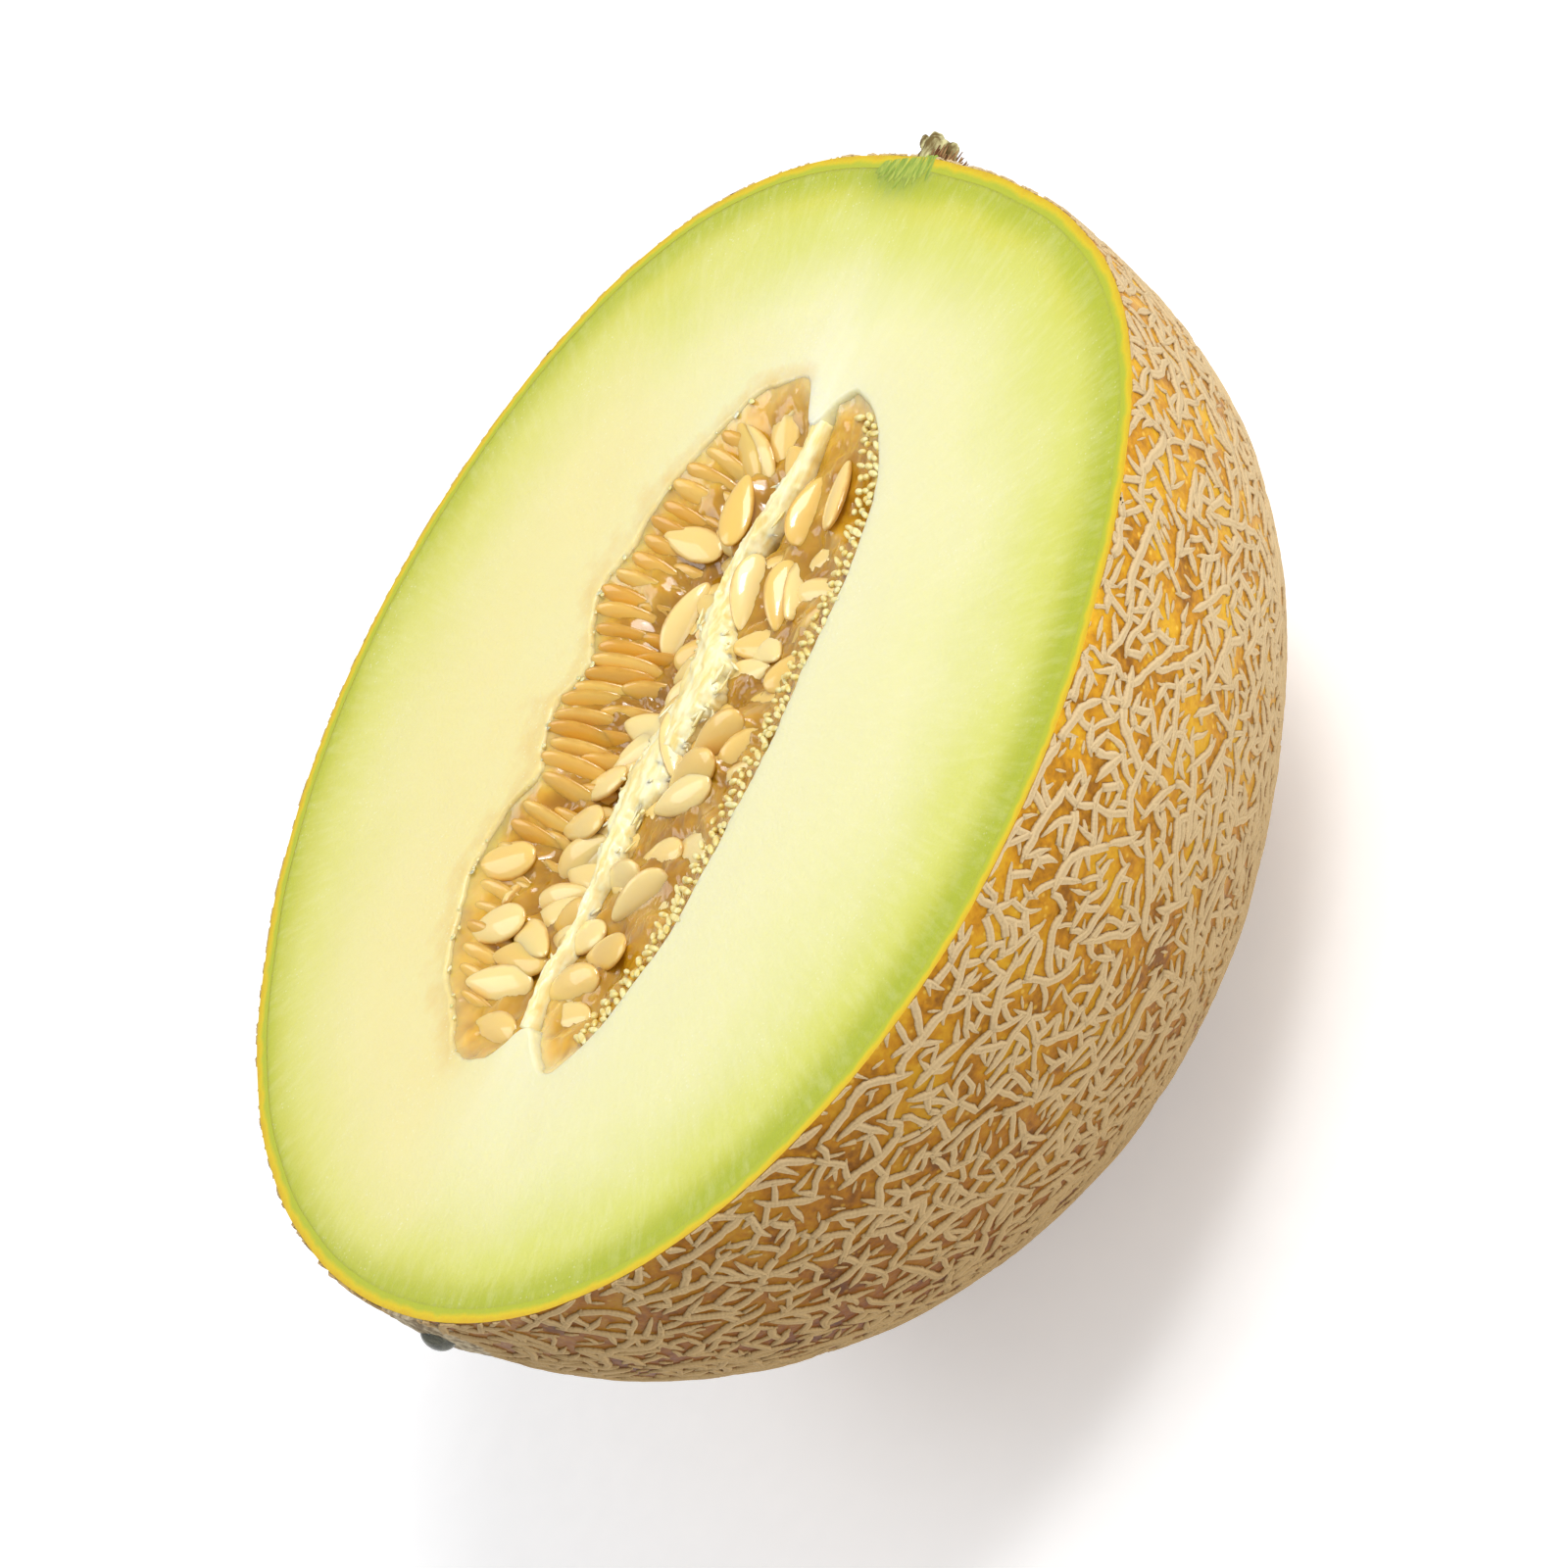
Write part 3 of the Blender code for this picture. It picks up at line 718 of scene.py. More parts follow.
@dataclass(frozen=True)
class SeedJelly:
    """The jelly round the seeds: wet, clear tissue that light goes deep into.

    To the eye it is amber, darker where it is thick and painted darker where it lies deep, with sharp
    wet highlights.
    """

    name: str = "amber_seed_jelly"
    thin: str = "#E0AC32"
    thick: str = "#B8820E"
    clear: str = "#EAC062"
    # The dark amber of the painted shade deep in the cavity.
    deep: str = "#9E6C06"
    rim: str = "#F0DEA4"
    lump: float = 4.5
    fold: float = 2.6

    def build(self) -> bpy.types.Material:
        """The material."""
        material, tree, shader = new_material(self.name)
        place = add(tree, "ShaderNodeTexCoord").outputs["Object"]
        lumps = add(tree, "ShaderNodeTexNoise", {"Scale": per_metre(self.lump), "Detail": 2.0},
                    {"Vector": place})
        colour = add(tree, "ShaderNodeValToRGB",
                     {"ramp": ((0.32, self.thick), (0.55, self.thin), (0.75, self.clear))},
                     {"Fac": lumps.outputs[0]})
        folds = add(tree, "ShaderNodeTexNoise", {"Scale": per_metre(self.fold), "Detail": 1.0,
                                                 "Distortion": 0.8}, {"Vector": place})
        bump = add(tree, "ShaderNodeBump", {"Strength": 0.35, "Distance": 0.7 * METRES},
                   {"Height": folds.outputs[0]})
        # Painted shade: jelly that lies deeper under the cut face is mixed towards a dark amber.
        sunk = add(tree, "ShaderNodeAttribute", {"attribute_name": "sunk"})
        deeper = add(tree, "ShaderNodeMix", {"data_type": "RGBA", 7: linear(self.deep)},
                     {0: sunk.outputs["Fac"], 6: colour.outputs[0]})
        pale = add(tree, "ShaderNodeAttribute", {"attribute_name": "pale"})
        paler = add(tree, "ShaderNodeMix", {"data_type": "RGBA", 7: linear(self.rim)},
                    {0: pale.outputs["Fac"], 6: deeper.outputs[2]})
        link_finish(tree, shader, paler.outputs[2], bump)
        set_shader(shader, Roughness=0.18, Specular_IOR_Level=0.3, Subsurface_Weight=0.6,
                   Subsurface_Scale=2.0 * METRES, Subsurface_Radius=(1.0, 0.7, 0.15),
                   Coat_Weight=1.0, Coat_Roughness=0.04)
        return material


@dataclass(frozen=True)
class PaleTissue:
    """The pale tissue that feeds the seeds: spongy, fibrous and wet.

    To the eye it is cream to near white, ragged, with threads along it.
    """

    name: str = "placenta_tissue"
    light: str = "#FAF2C6"
    shade: str = "#EFD98C"
    grain: float = 1.1

    def build(self) -> bpy.types.Material:
        """The material."""
        material, tree, shader = new_material(self.name)
        place = add(tree, "ShaderNodeTexCoord").outputs["Object"]
        along = add(tree, "ShaderNodeMapping", {"Scale": (0.22, 1.0, 1.0)}, {"Vector": place})
        threads = add(tree, "ShaderNodeTexNoise", {"Scale": per_metre(self.grain), "Detail": 4.0},
                      {"Vector": along.outputs[0]})
        colour = add(tree, "ShaderNodeValToRGB", {"ramp": ((0.36, self.shade), (0.62, self.light))},
                     {"Fac": threads.outputs[0]})
        bump = add(tree, "ShaderNodeBump", {"Strength": 0.3, "Distance": 0.3 * METRES},
                   {"Height": threads.outputs[0]})
        link_finish(tree, shader, colour.outputs[0], bump)
        set_shader(shader, Roughness=0.35, Subsurface_Weight=0.6, Subsurface_Scale=0.8 * METRES,
                   Subsurface_Radius=(1.0, 0.9, 0.6), Coat_Weight=0.2, Coat_Roughness=0.12)
        return material


@dataclass(frozen=True)
class DryTissue:
    """Dried plant tissue, such as the stub of the stalk and the corky scar.

    To the eye it is matt, ribbed along its length, pale on its ribs and brown between them.
    """

    name: str
    pale: str
    dark: str
    ribs: float = 0.8
    roughness: float = 0.85

    def build(self) -> bpy.types.Material:
        """The material."""
        material, tree, shader = new_material(self.name)
        place = add(tree, "ShaderNodeTexCoord").outputs["Object"]
        along = add(tree, "ShaderNodeMapping", {"Scale": (0.3, 1.0, 1.0)}, {"Vector": place})
        ribs = add(tree, "ShaderNodeTexNoise", {"Scale": per_metre(self.ribs), "Detail": 4.0},
                   {"Vector": along.outputs[0]})
        colour = add(tree, "ShaderNodeValToRGB", {"ramp": ((0.4, self.dark), (0.6, self.pale))},
                     {"Fac": ribs.outputs[0]})
        bump = add(tree, "ShaderNodeBump", {"Strength": 0.8, "Distance": 0.3 * METRES},
                   {"Height": ribs.outputs[0]})
        link_finish(tree, shader, colour.outputs[0], bump)
        set_shader(shader, Roughness=self.roughness, Specular_IOR_Level=0.35)
        return material


@dataclass(frozen=True)
class Juice:
    """Melon juice in a drop, clear and as thin as water, with a grey-green colour that paints in the
    darkness of the rind it shows behind.
    """

    # Painted darkness: grey-green that stands in for the dark rind seen through the drop.
    colour: str = "#8C9188"

    def build(self) -> bpy.types.Material:
        """The material."""
        material, tree, shader = new_material("clear_juice")
        place = add(tree, "ShaderNodeTexCoord").outputs["Object"]
        film = add(tree, "ShaderNodeTexNoise", {"Scale": per_metre(1.5)}, {"Vector": place})
        bump = add(tree, "ShaderNodeBump", {"Strength": 0.1, "Distance": 0.1 * METRES},
                   {"Height": film.outputs[0]})
        tree.links.new(bump.outputs[0], shader.inputs["Normal"])
        set_shader(shader, Base_Color=linear(self.colour), Roughness=0.02, IOR=1.34,
                   Transmission_Weight=0.75)
        return material


@dataclass
class Rind:
    """The skin with its cut edge, the net that stands on it, and the blossom scar."""

    form: FruitForm
    thickness: float = 1.8
    columns: int = 240
    rows: int = 120
    swell: float = 0.22
    scar_centre: Vector = field(default_factory=lambda: Vector((-78.4, -10.0, -6.0)))
    scar_radius: float = 9.5

    def surface(self, way: Vector, out: float = 0.0) -> Vector:
        """The skin with its slow unevenness, out mm outside it."""
        uneven = noise.noise(way * 7.0) * self.swell
        return self.form.point(way, out + uneven)

    def skin(self) -> bpy.types.Object:
        """Builds the skin as a closed shell with a flat cut edge.

        Returns:
            The piece.
        """
        bm = bmesh.new()
        depth = bm.verts.layers.float.new("depth")
        bmesh.ops.create_uvsphere(bm, u_segments=self.columns, v_segments=self.rows, radius=1.0)
        cut_off(bm, 0)
        outer = bm.faces[:]
        for vert in bm.verts:
            vert.co = vert.co.normalized()
        made = bmesh.ops.extrude_face_region(bm, geom=outer, use_keep_orig=True)["geom"]
        inner = set(new_vertices(made))
        for vert in bm.verts:
            way = vert.co.normalized()
            if abs(way.z) < 1e-4:
                way = Vector((way.x, way.y, 0.0)).normalized()
            vert[depth] = 1.0 if vert in inner else 0.0
            vert.co = self.surface(way, -self.thickness * vert[depth])
        edge = [item for item in bm.edges if not item.is_boundary
                and all(vert.co.z > CUT_HEIGHT - 1e-3 and vert[depth] < 0.5 for vert in item.verts)]
        bmesh.ops.recalc_face_normals(bm, faces=bm.faces[:])
        bmesh.ops.bevel(bm, geom=edge, offset=0.18, affect="EDGES", segments=2, profile=0.5,
                        material=-1)
        for face in bm.faces:
            face.material_index = 1 if face.normal.z > 0.4 and face.calc_center_median().z > 71 else 0
        return finish_piece(bm, "rind_skin", [WaxySkin().build(), CutRind().build()], Slot.RIND,
                            "rind")

    def net(self) -> list[bpy.types.Object]:
        """Builds the ridges of the net, in a near and a far piece for each kind.

        Returns:
            The pieces.
        """
        cork = CorkNet().build()
        lines = CrackGrowth().run()
        pieces = []
        for kind in Ridge:
            for side, far in (("near", False), ("far", True)):
                chosen = [line for line in lines if line[0] is kind and (line[1][0].y > 0) is far]
                name = f"rind_net_{kind.name.lower()}_{side}"
                pieces.append(finish_piece(self.ridges(kind, chosen), name, [cork], Slot.RIND, "rind"))
        return pieces

    def ridges(self, kind: Ridge, lines: list[tuple[Ridge, list[Vector], bool, bool]]
               ) -> bmesh.types.BMesh:
        """Sweeps a low double-shouldered section along every crack of one kind.

        Args:
            kind: the kind of ridge.
            lines: its cracks.

        Returns:
            The mesh, cut off at the cut face.
        """
        half_width, height = kind.value
        bm = bmesh.new()
        station = bm.verts.layers.int.new("station")
        along = bm.verts.layers.float.new("along")
        crown = bm.verts.layers.float.new("crown")
        ridge = bm.verts.layers.int.new("ridge")
        frames = []
        for number, (_, points, met_first, met_last) in enumerate(lines):
            before = None
            last = len(points) - 1
            dice = random.Random(len(frames))
            broad = dice.uniform(0.82, 1.18)
            for count, way in enumerate(points):
                start = points[max(count - 1, 0)]
                ahead = (points[min(count + 1, last)] - start).normalized()
                from_end = min(count + (3.0 if met_first else 0.0),
                               last - count + (3.0 if met_last else 0.0))
                taper = min(1.0, (0.22 + from_end * 0.36)) * broad
                taper *= 1.0 + 0.4 * noise.noise(way * 85.0)
                frames.append((self.surface(way), way, ahead.cross(way).normalized(), taper))
                vert = bm.verts.new(way)
                vert[station] = len(frames) - 1
                vert[along] = count * 0.8
                vert[ridge] = number
                if before:
                    bm.edges.new((before, vert))
                before = vert
        # The section, as (across in half widths, share of the height, crown).
        section = ((-1.0, -0.7, 0.0), (-0.64, 1.0, 0.5), (0.0, 0.8, 1.0), (0.64, 1.0, 0.5),
                   (1.0, -0.7, 0.0))
        rows = [bm.verts[:]]
        edges = bm.edges[:]
        for _ in section:
            verts, edges = extrude_line(bm, edges)
            rows.append(verts)
        for row, (across, up, level) in zip(rows, section + section[:1]):
            for vert in row:
                place, out, side, taper = frames[vert[station]]
                sink = up * height * min(1.0, 0.45 + 0.55 * taper) if up > 0 else up * height
                vert.co = place + side * (across * half_width * taper) + out * sink
                vert.co.z = max(vert.co.z, 0.0)
                vert[crown] = level
        first = {vert[station]: vert for vert in rows[0]}
        bmesh.ops.weld_verts(bm, targetmap={vert: first[vert[station]] for vert in rows[-1]})
        cut_off(bm, CUT_HEIGHT - 0.02)
        close_holes(bm)
        drop_open_parts(bm)
        # Ridges that meet at the cut end at slightly different levels, so that no two ends coincide.
        for vert in bm.verts:
            if vert.co.z > CUT_HEIGHT - 0.03:
                vert.co.z -= 0.04 * (height - 0.28) / 0.12 + 0.0029 * (vert[ridge] % 13)
        return bm

    def scar(self) -> bpy.types.Object:
        """Builds the corky button that the flower left at the blossom end.

        Returns:
            The piece.
        """
        bm = bmesh.new()
        bmesh.ops.create_grid(bm, x_segments=44, y_segments=44, size=1.0)
        centre = self.scar_centre.normalized()
        side = UP.cross(centre).normalized()
        rise = centre.cross(side)
        keep = []
        for vert in bm.verts:
            x, y = vert.co.x, vert.co.y
            reach = math.hypot(x, y)
            ragged = 0.86 + 0.14 * noise.noise(Vector((math.atan2(y, x) * 1.6, 4.0, 0.0)))
            way = (centre + (side * x + rise * y) * (self.scar_radius / 78.0)).normalized()
            edge = max(0.0, 1.0 - (reach / ragged) ** 2)
            lumps = 0.5 + noise.noise(Vector((x, y, 0.0)) * 5.0) * 0.8
            vert.co = self.surface(way, -0.35 + 1.25 * edge ** 0.5 * (0.7 + 0.3 * lumps))
            if reach > ragged:
                keep.append(vert)
        bmesh.ops.delete(bm, geom=keep, context="VERTS")
        made = bmesh.ops.extrude_face_region(bm, geom=bm.faces[:], use_keep_orig=True)["geom"]
        for vert in new_vertices(made):
            vert.co -= centre * 1.2
        cut_off(bm, CUT_HEIGHT - 0.02)
        close_holes(bm)
        cork = DryTissue("blossom_scar_cork", "#B8A888", "#7C6A4E", ribs=0.9)
        return finish_piece(bm, "blossom_scar", [cork.build()], Slot.RIND, "rind")


@dataclass
class Cavity:
    """The seed cavity's outline at the cut face and its depth.

    The rim is given as (turn from +X in degrees, reach in mm) about the cavity's middle. It was
    read off the photograph, turned into mm through the fitted camera and then set one by one. The
    flesh pushes in at both ends, where the strand leaves it.
    """

    middle_x: float = -1.4
    middle_y: float = 1.3
    half_length: float = 47.0
    depth: float = 22.0
    ragged: float = 0.35
    rim: tuple[tuple[float, float], ...] = (
        (0.8, 38.5), (4.0, 43.5), (7.0, 47.0), (13.0, 46.8), (19.0, 46.2), (27.0, 41.7), (34.0, 38.3),
        (43.0, 34.8), (49.0, 31.6), (53.0, 30.8), (58.0, 30.6), (63.0, 28.8), (67.0, 25.5),
        (71.0, 22.0), (76.0, 19.6), (83.0, 20.8), (92.0, 22.3), (103.0, 21.9), (115.0, 20.9),
        (121.0, 21.7), (125.0, 24.6), (130.0, 28.2), (138.0, 32.4), (147.0, 35.4), (154.0, 38.8),
        (165.0, 41.8), (171.0, 45.6), (177.0, 46.4), (183.0, 44.6), (188.0, 39.5), (192.0, 43.5),
        (197.0, 47.8), (204.0, 44.4), (216.0, 37.4), (224.0, 34.0), (234.0, 29.2), (247.0, 25.4),
        (260.0, 24.0), (278.0, 23.4), (290.0, 24.1), (304.0, 26.6), (314.0, 30.2), (323.0, 34.2),
        (335.0, 40.2), (348.0, 45.2), (355.5, 46.0), (360.8, 38.5))

    def station(self, turn: float) -> float:
        """The rim's reach at turn degrees, straight from its stations."""
        turn = (turn - 0.8) % 360.0 + 0.8
        for (start, near), (end, far) in zip(self.rim, self.rim[1:]):
            if turn <= end:
                return near + (far - near) * (turn - start) / (end - start)
        return self.rim[-1][1]

    def reach(self, turn: float) -> float:
        """The distance of the rim from the cavity's middle.

        Args:
            turn: the angle from +X, in radians.

        Returns:
            The distance in mm.
        """
        degrees = math.degrees(turn)
        smooth = sum(self.station(degrees + step) for step in (-2.0, -1.0, 0.0, 1.0, 2.0)) / 5
        ripple = noise.noise(Vector((math.cos(turn) * 6.0, math.sin(turn) * 6.0, 1.0)))
        ripple += 0.6 * noise.noise(Vector((math.cos(turn) * 22.0, math.sin(turn) * 22.0, 4.0)))
        far = 2.0 if math.sin(turn) > 0 else 1.0
        return smooth + ripple * self.ragged * far

    def rim_points(self, far: bool) -> list[Vector]:
        """The rim on one side of the middle, in order along X, without the tongues of flesh."""
        first, last = (8, 176) if far else (5, 163)
        turns = [math.radians(0.5 + count) * (1 if far else -1) for count in range(first, last)]
        points = [self.point(turn, 1.0, 0.0) for turn in turns]
        return sorted(points, key=lambda point: point.x)

    def point(self, turn: float, share: float, height: float) -> Vector:
        """A point at a share of the way from the middle to the rim."""
        reach = self.reach(turn) * share
        return Vector((self.middle_x + reach * math.cos(turn),
                       self.middle_y + reach * math.sin(turn), CUT_HEIGHT + height))


@dataclass
class Flesh:
    """The flesh as one closed form, and the pale strand along the core."""

    form: FruitForm
    cavity: Cavity
    wall: float = 1.8
    tucked: float = 0.6
    turns: int = 360
    face_rings: int = 34
    rim_radius: float = 0.85
    # Along the fruit: x, middle across it, half width, and level under the cut. It was read off
    # the photograph, turned into mm through the fitted camera and then set one by one.
    strand_line: tuple[tuple[float, float, float, float], ...] = (
        (-42.0, -3.4, 1.1, -0.35), (-38.6, -1.8, 1.1, -0.8), (-35.5, -1.0, 1.3, -1.1),
        (-32.1, -0.5, 1.3, -1.6), (-28.0, 0.0, 1.1, -2.3), (-23.3, 0.4, 1.4, -2.2),
        (-20.4, 0.3, 2.1, -1.8), (-17.2, 1.0, 2.3, -1.8), (-13.5, 2.4, 2.4, -2.0),
        (-9.9, 2.6, 3.3, -1.9), (-6.5, 2.1, 3.5, -1.7), (-3.4, 1.2, 3.3, -1.6),
        (0.8, 0.0, 3.4, -1.5), (3.5, -0.4, 3.9, -1.3), (7.8, 0.8, 3.9, -1.3),
        (12.4, 3.0, 3.1, -1.4), (17.2, 4.7, 2.1, -1.6), (21.2, 4.9, 1.8, -1.6),
        (24.9, 4.0, 2.2, -1.3), (28.3, 3.0, 2.3, -1.1), (32.7, 1.8, 1.7, -0.9),
        (36.1, 1.1, 1.2, -0.6), (40.0, 1.3, 1.6, -0.3))

    def outer(self, turn: float) -> Vector:
        """The edge of the flesh on the cut face, seen from the cavity's middle at turn."""
        way = Vector((math.cos(turn), math.sin(turn), 0.0))
        start = Vector((self.cavity.middle_x, self.cavity.middle_y, 0.0))
        reach = 70.0
        for _ in range(12):
            place = start + way * reach
            reach += self.form.radius(place.normalized()) - self.wall - place.length
        return start + way * reach

    def body(self) -> bpy.types.Object:
        """Lofts the flesh ring by ring: outside, cut face, rounded rim, cavity wall and floor.

        Returns:
            The piece.
        """
        bm = bmesh.new()
        turn_layer = bm.verts.layers.int.new("turn")
        inward = bm.verts.layers.float.new("inward")
        grain = bm.verts.layers.float_vector.new("grain")
        core = bm.verts.layers.float.new("core")
        green = bm.verts.layers.float.new("green")
        stain = bm.verts.layers.float.new("stain")
        circle = bmesh.ops.create_circle(bm, segments=self.turns, radius=1.0)["verts"]
        angles = [2 * math.pi * count / self.turns for count in range(self.turns)]
        for vert in circle:
            angle = math.atan2(vert.co.y, vert.co.x) % (2 * math.pi)
            vert[turn_layer] = round(angle / (2 * math.pi) * self.turns) % self.turns
        outer = [self.outer(angle) for angle in angles]
        rims = [self.cavity.point(angle, 1.0, 0.0) - MIDDLE for angle in angles]
        rings = self.rings(angles, outer, rims)
        edges = bm.edges[:]
        verts = circle
        for count, (places, share) in enumerate(rings):
            if count:
                verts, edges = extrude_line(bm, edges)
            for vert in verts:
                at = vert[turn_layer]
                vert.co = places[at]
                vert[inward] = share ** self.paling(angles[at])
                gap = (outer[at] - rims[at]).length
                # A fibre is about 1 mm wide and 5 mm long.
                vert[grain] = Vector((angles[at] * 52.0, share * gap / 5.0, 0.0))
                vert[core] = self.core(places[at] - MIDDLE)
                vert[green] = self.green(angles[at], share)
                vert[stain] = self.stain(places[at] - MIDDLE)
        close_holes(bm)
        return finish_piece(bm, "flesh_body", [CutFlesh().build()], Slot.FLESH, "flesh")

    def core(self, place: Vector) -> float:
        """How pale the flesh is where the strand runs on into it, from 0 to 1."""
        if abs(place.x) < 34.0 or place.z < -4.0:
            return 0.0
        stem = place.x > 0
        middle = 3.0 + 0.1 * (place.x - 44.0) if stem else -6.0 + 0.1 * (place.x + 45.0)
        broad = (5.0 if stem else 3.6) + 0.16 * (abs(place.x) - 40.0)
        fade = max(0.0, 1.0 - max(0.0, abs(place.x) - 38.0) / (26.0 if stem else 32.0))
        streaks = 0.75 + 0.5 * noise.noise(Vector((place.x * 0.05, place.y * 0.45, 2.0)))
        return fade * (1.0 if stem else 0.6) * streaks * math.exp(-((place.y - middle) / broad) ** 2)

    def paling(self, angle: float) -> float:
        """The power that says how soon the flesh pales from the rind inward, at angle."""
        return 0.72 + 0.34 * math.exp(-((math.remainder(angle - 0.1, 2 * math.pi)) / 0.65) ** 2)

    def green(self, angle: float, share: float) -> float:
        """How deep the green is next to the rind, from 0 to 1."""
        near = 0.35 + 0.55 * max(0.0, math.sin(-angle - 0.5)) + 0.3 * max(0.0, math.cos(angle))
        return min(1.0, near) * 0.85 * math.exp(-((share - 0.035) / 0.075) ** 2)

    def stain(self, place: Vector) -> float:
        """How green the flesh is stained round the stalk's root, from 0 to 1."""
        away = Vector(((place.x - 73.5) / 3.6, (place.y - 10.5) / 6.0))
        return 0.8 * math.exp(-away.length_squared) if place.z > -6.0 else 0.0

    def rings(self, angles: list[float], outer: list[Vector], rims: list[Vector]
              ) -> list[tuple[list[Vector], float]]:
        """Works out the rings of the flesh.

        Args:
            angles: the angle of each column.
            outer: the flesh's edge on the cut face at each, about the fruit's middle.
            rims: the cavity's rim at each, about the fruit's middle.

        Returns:
            The places of each ring, and how far inward it lies, from 0 at the rind to 1.
        """
        rings = []
        for count in range(14, 0, -1):
            drop = math.radians(90.0 * count / 14.5)
            places = []
            for edge in outer:
                flat = edge.normalized()
                way = flat * math.cos(drop) - UP * math.sin(drop)
                place = MIDDLE + way * (self.form.radius(way) - self.tucked)
                place.z = max(place.z, self.tucked)
                places.append(place)
            rings.append((places, 0.0))
        # The flesh runs on under the cut face of the rind, so that light doesn't end at their seam.
        rings.append(([MIDDLE + edge.normalized() * (edge.length + self.wall - self.tucked)
                       - UP * 0.04 for edge in outer], 0.0))
        for count in range(self.face_rings + 1):
            share = (count / self.face_rings) ** 0.9
            places = []
            for edge, rim in zip(outer, rims):
                inner = rim + (edge - rim).normalized() * self.rim_radius
                place = MIDDLE + edge.lerp(inner, share)
                dip = noise.noise(place * 0.09) * 0.18 * min(1.0, count / 4)
                places.append(place + UP * (min(0.0, dip) if count else -0.02))
            rings.append((places, share))
        for count in range(1, 6):
            arc = math.radians(18.0 * count)
            places = []
            for edge, rim in zip(outer, rims):
                out = (edge - rim).normalized() * self.rim_radius
                places.append(MIDDLE + rim + out * (1 - math.sin(arc))
                              - UP * self.rim_radius * (1 - math.cos(arc)))
            rings.append((places, 1.0))
        for count in range(1, 11):
            part = count / 10
            share = math.cos(part * math.pi / 2) ** 0.7
            drop = self.rim_radius + (self.cavity.depth - self.rim_radius) * math.sin(part * math.pi / 2)
            rings.append(([self.cavity.point(angle, max(share, 0.02), -drop) for angle in angles], 1.0))
        return rings

    def strand_at(self, x: float) -> tuple[float, float, float]:
        """The strand's middle across the fruit, its half width and its level, at x."""
        for start, end in zip(self.strand_line, self.strand_line[1:]):
            if x <= end[0]:
                share = max(0.0, (x - start[0]) / (end[0] - start[0]))
                share = share * share * (3 - 2 * share) * 0.5 + share * 0.5
                return tuple(low + (high - low) * share for low, high in zip(start[1:], end[1:]))
        return self.strand_line[-1][1:]

    def strand(self) -> bpy.types.Object:
        """Builds the ragged pale strand along the core, with its crumbs and threads.

        Returns:
            The piece.
        """
        bm = bmesh.new()
        bmesh.ops.create_grid(bm, x_segments=260, y_segments=26, size=1.0)
        first, last = self.strand_line[0][0], self.strand_line[-1][0]
        for vert in bm.verts:
            share, side = (vert.co.x + 1) / 2, vert.co.y
            x = first + (last - first) * share
            middle, half, level = self.strand_at(x)
            free = min(1.0, -level / 1.2)
            ragged = noise.noise(Vector((x * 0.5, 5.0 + side * 0.7, 0.0))) * 0.34
            ragged += noise.noise(Vector((x * 1.6, 9.0 + side, 0.0))) * 0.16
            half *= 1.0 + ragged * free
            crest = -1.5 * abs(side) ** 2.6 * free
            fibres = noise.noise(Vector((x * 0.35, side * 3.0, 0.0))) * 0.32
            lumps = noise.noise(Vector((x * 0.7, side * half * 0.7, 3.0))) * 0.32
            crumbs = max(0.0, noise.noise(Vector((x * 1.8, side * half * 1.8, 8.0)))) * 0.25
            z = level + crest + (fibres + lumps + crumbs) * free
            vert.co = Vector((x, middle + half * side, CUT_HEIGHT + min(z, -0.06)))
        made = bmesh.ops.extrude_face_region(bm, geom=bm.faces[:], use_keep_orig=True)["geom"]
        for vert in new_vertices(made):
            vert.co.z -= 3.0
        self.threads(bm)
        close_holes(bm)
        return finish_piece(bm, "placenta_strand", [PaleTissue().build()], Slot.FLESH, "flesh")

    def threads(self, bm: bmesh.types.BMesh) -> None:
        """Adds the torn threads and crumbs at the strand's sides."""
        dice = random.Random(12)
        for _ in range(120):
            x = dice.gauss(-4.0, 18.0)
            if abs(x) > 34.0:
                continue
            middle, half, level = self.strand_at(x)
            side = dice.choice((-1, 1))
            made = bmesh.ops.create_uvsphere(bm, u_segments=7, v_segments=6, radius=1.0)["verts"]
            girth = dice.uniform(0.10, 0.26)
            reach = dice.uniform(0.4, 1.7)
            bmesh.ops.scale(bm, vec=(reach, girth * 1.3, girth), verts=made)
            turn = Matrix.Rotation(math.radians(dice.gauss(0.0, 45.0) + side * 35.0), 3, "Z")
            tilt = Matrix.Rotation(math.radians(dice.uniform(-25.0, 25.0)), 3, "Y")
            bmesh.ops.rotate(bm, matrix=turn @ tilt, verts=made)
            off = half * dice.uniform(0.6, 1.15) * side
            z = CUT_HEIGHT + level - dice.uniform(0.6, 2.0)
            bmesh.ops.translate(bm, vec=(x, middle + off, z), verts=made)


@dataclass(frozen=True)
class Sight:
    """The photograph's camera: its place over the floor in mm, its directions and its lens.

    The place and the directions come from a fit, made outside this script, to the outline of the
    fruit and of its cut face. Pixels are the photograph's.
    """

    place: tuple[float, float, float] = (-119.31, -582.39, 440.05)
    right: tuple[float, float, float] = (0.45517, -0.55625, -0.69527)
    up: tuple[float, float, float] = (0.87430, 0.13139, 0.46726)
    ahead: tuple[float, float, float] = (0.16857, 0.82056, -0.54614)
    lens: float = 135.0
    sensor: float = 36.0
    pixels: int = 1600

    def meet(self, u: float, v: float, height: float) -> tuple[float, float, float]:
        """Where the sight through a pixel meets a level over the cut face.

        Args:
            u: the pixel's column.
            v: the pixel's row.
            height: the level over the cut face, in mm.

        Returns:
            The place about the middle of the cut face, in mm.
        """
        focal = self.lens / self.sensor * self.pixels
        centre = self.pixels / 2
        way = [ahead * focal + right * (u - centre) - up * (v - centre)
               for ahead, right, up in zip(self.ahead, self.right, self.up)]
        start = (self.place[0], self.place[1], self.place[2] - CUT_HEIGHT)
        reach = (height - start[2]) / way[2]
        return tuple(begin + reach * part for begin, part in zip(start, way))


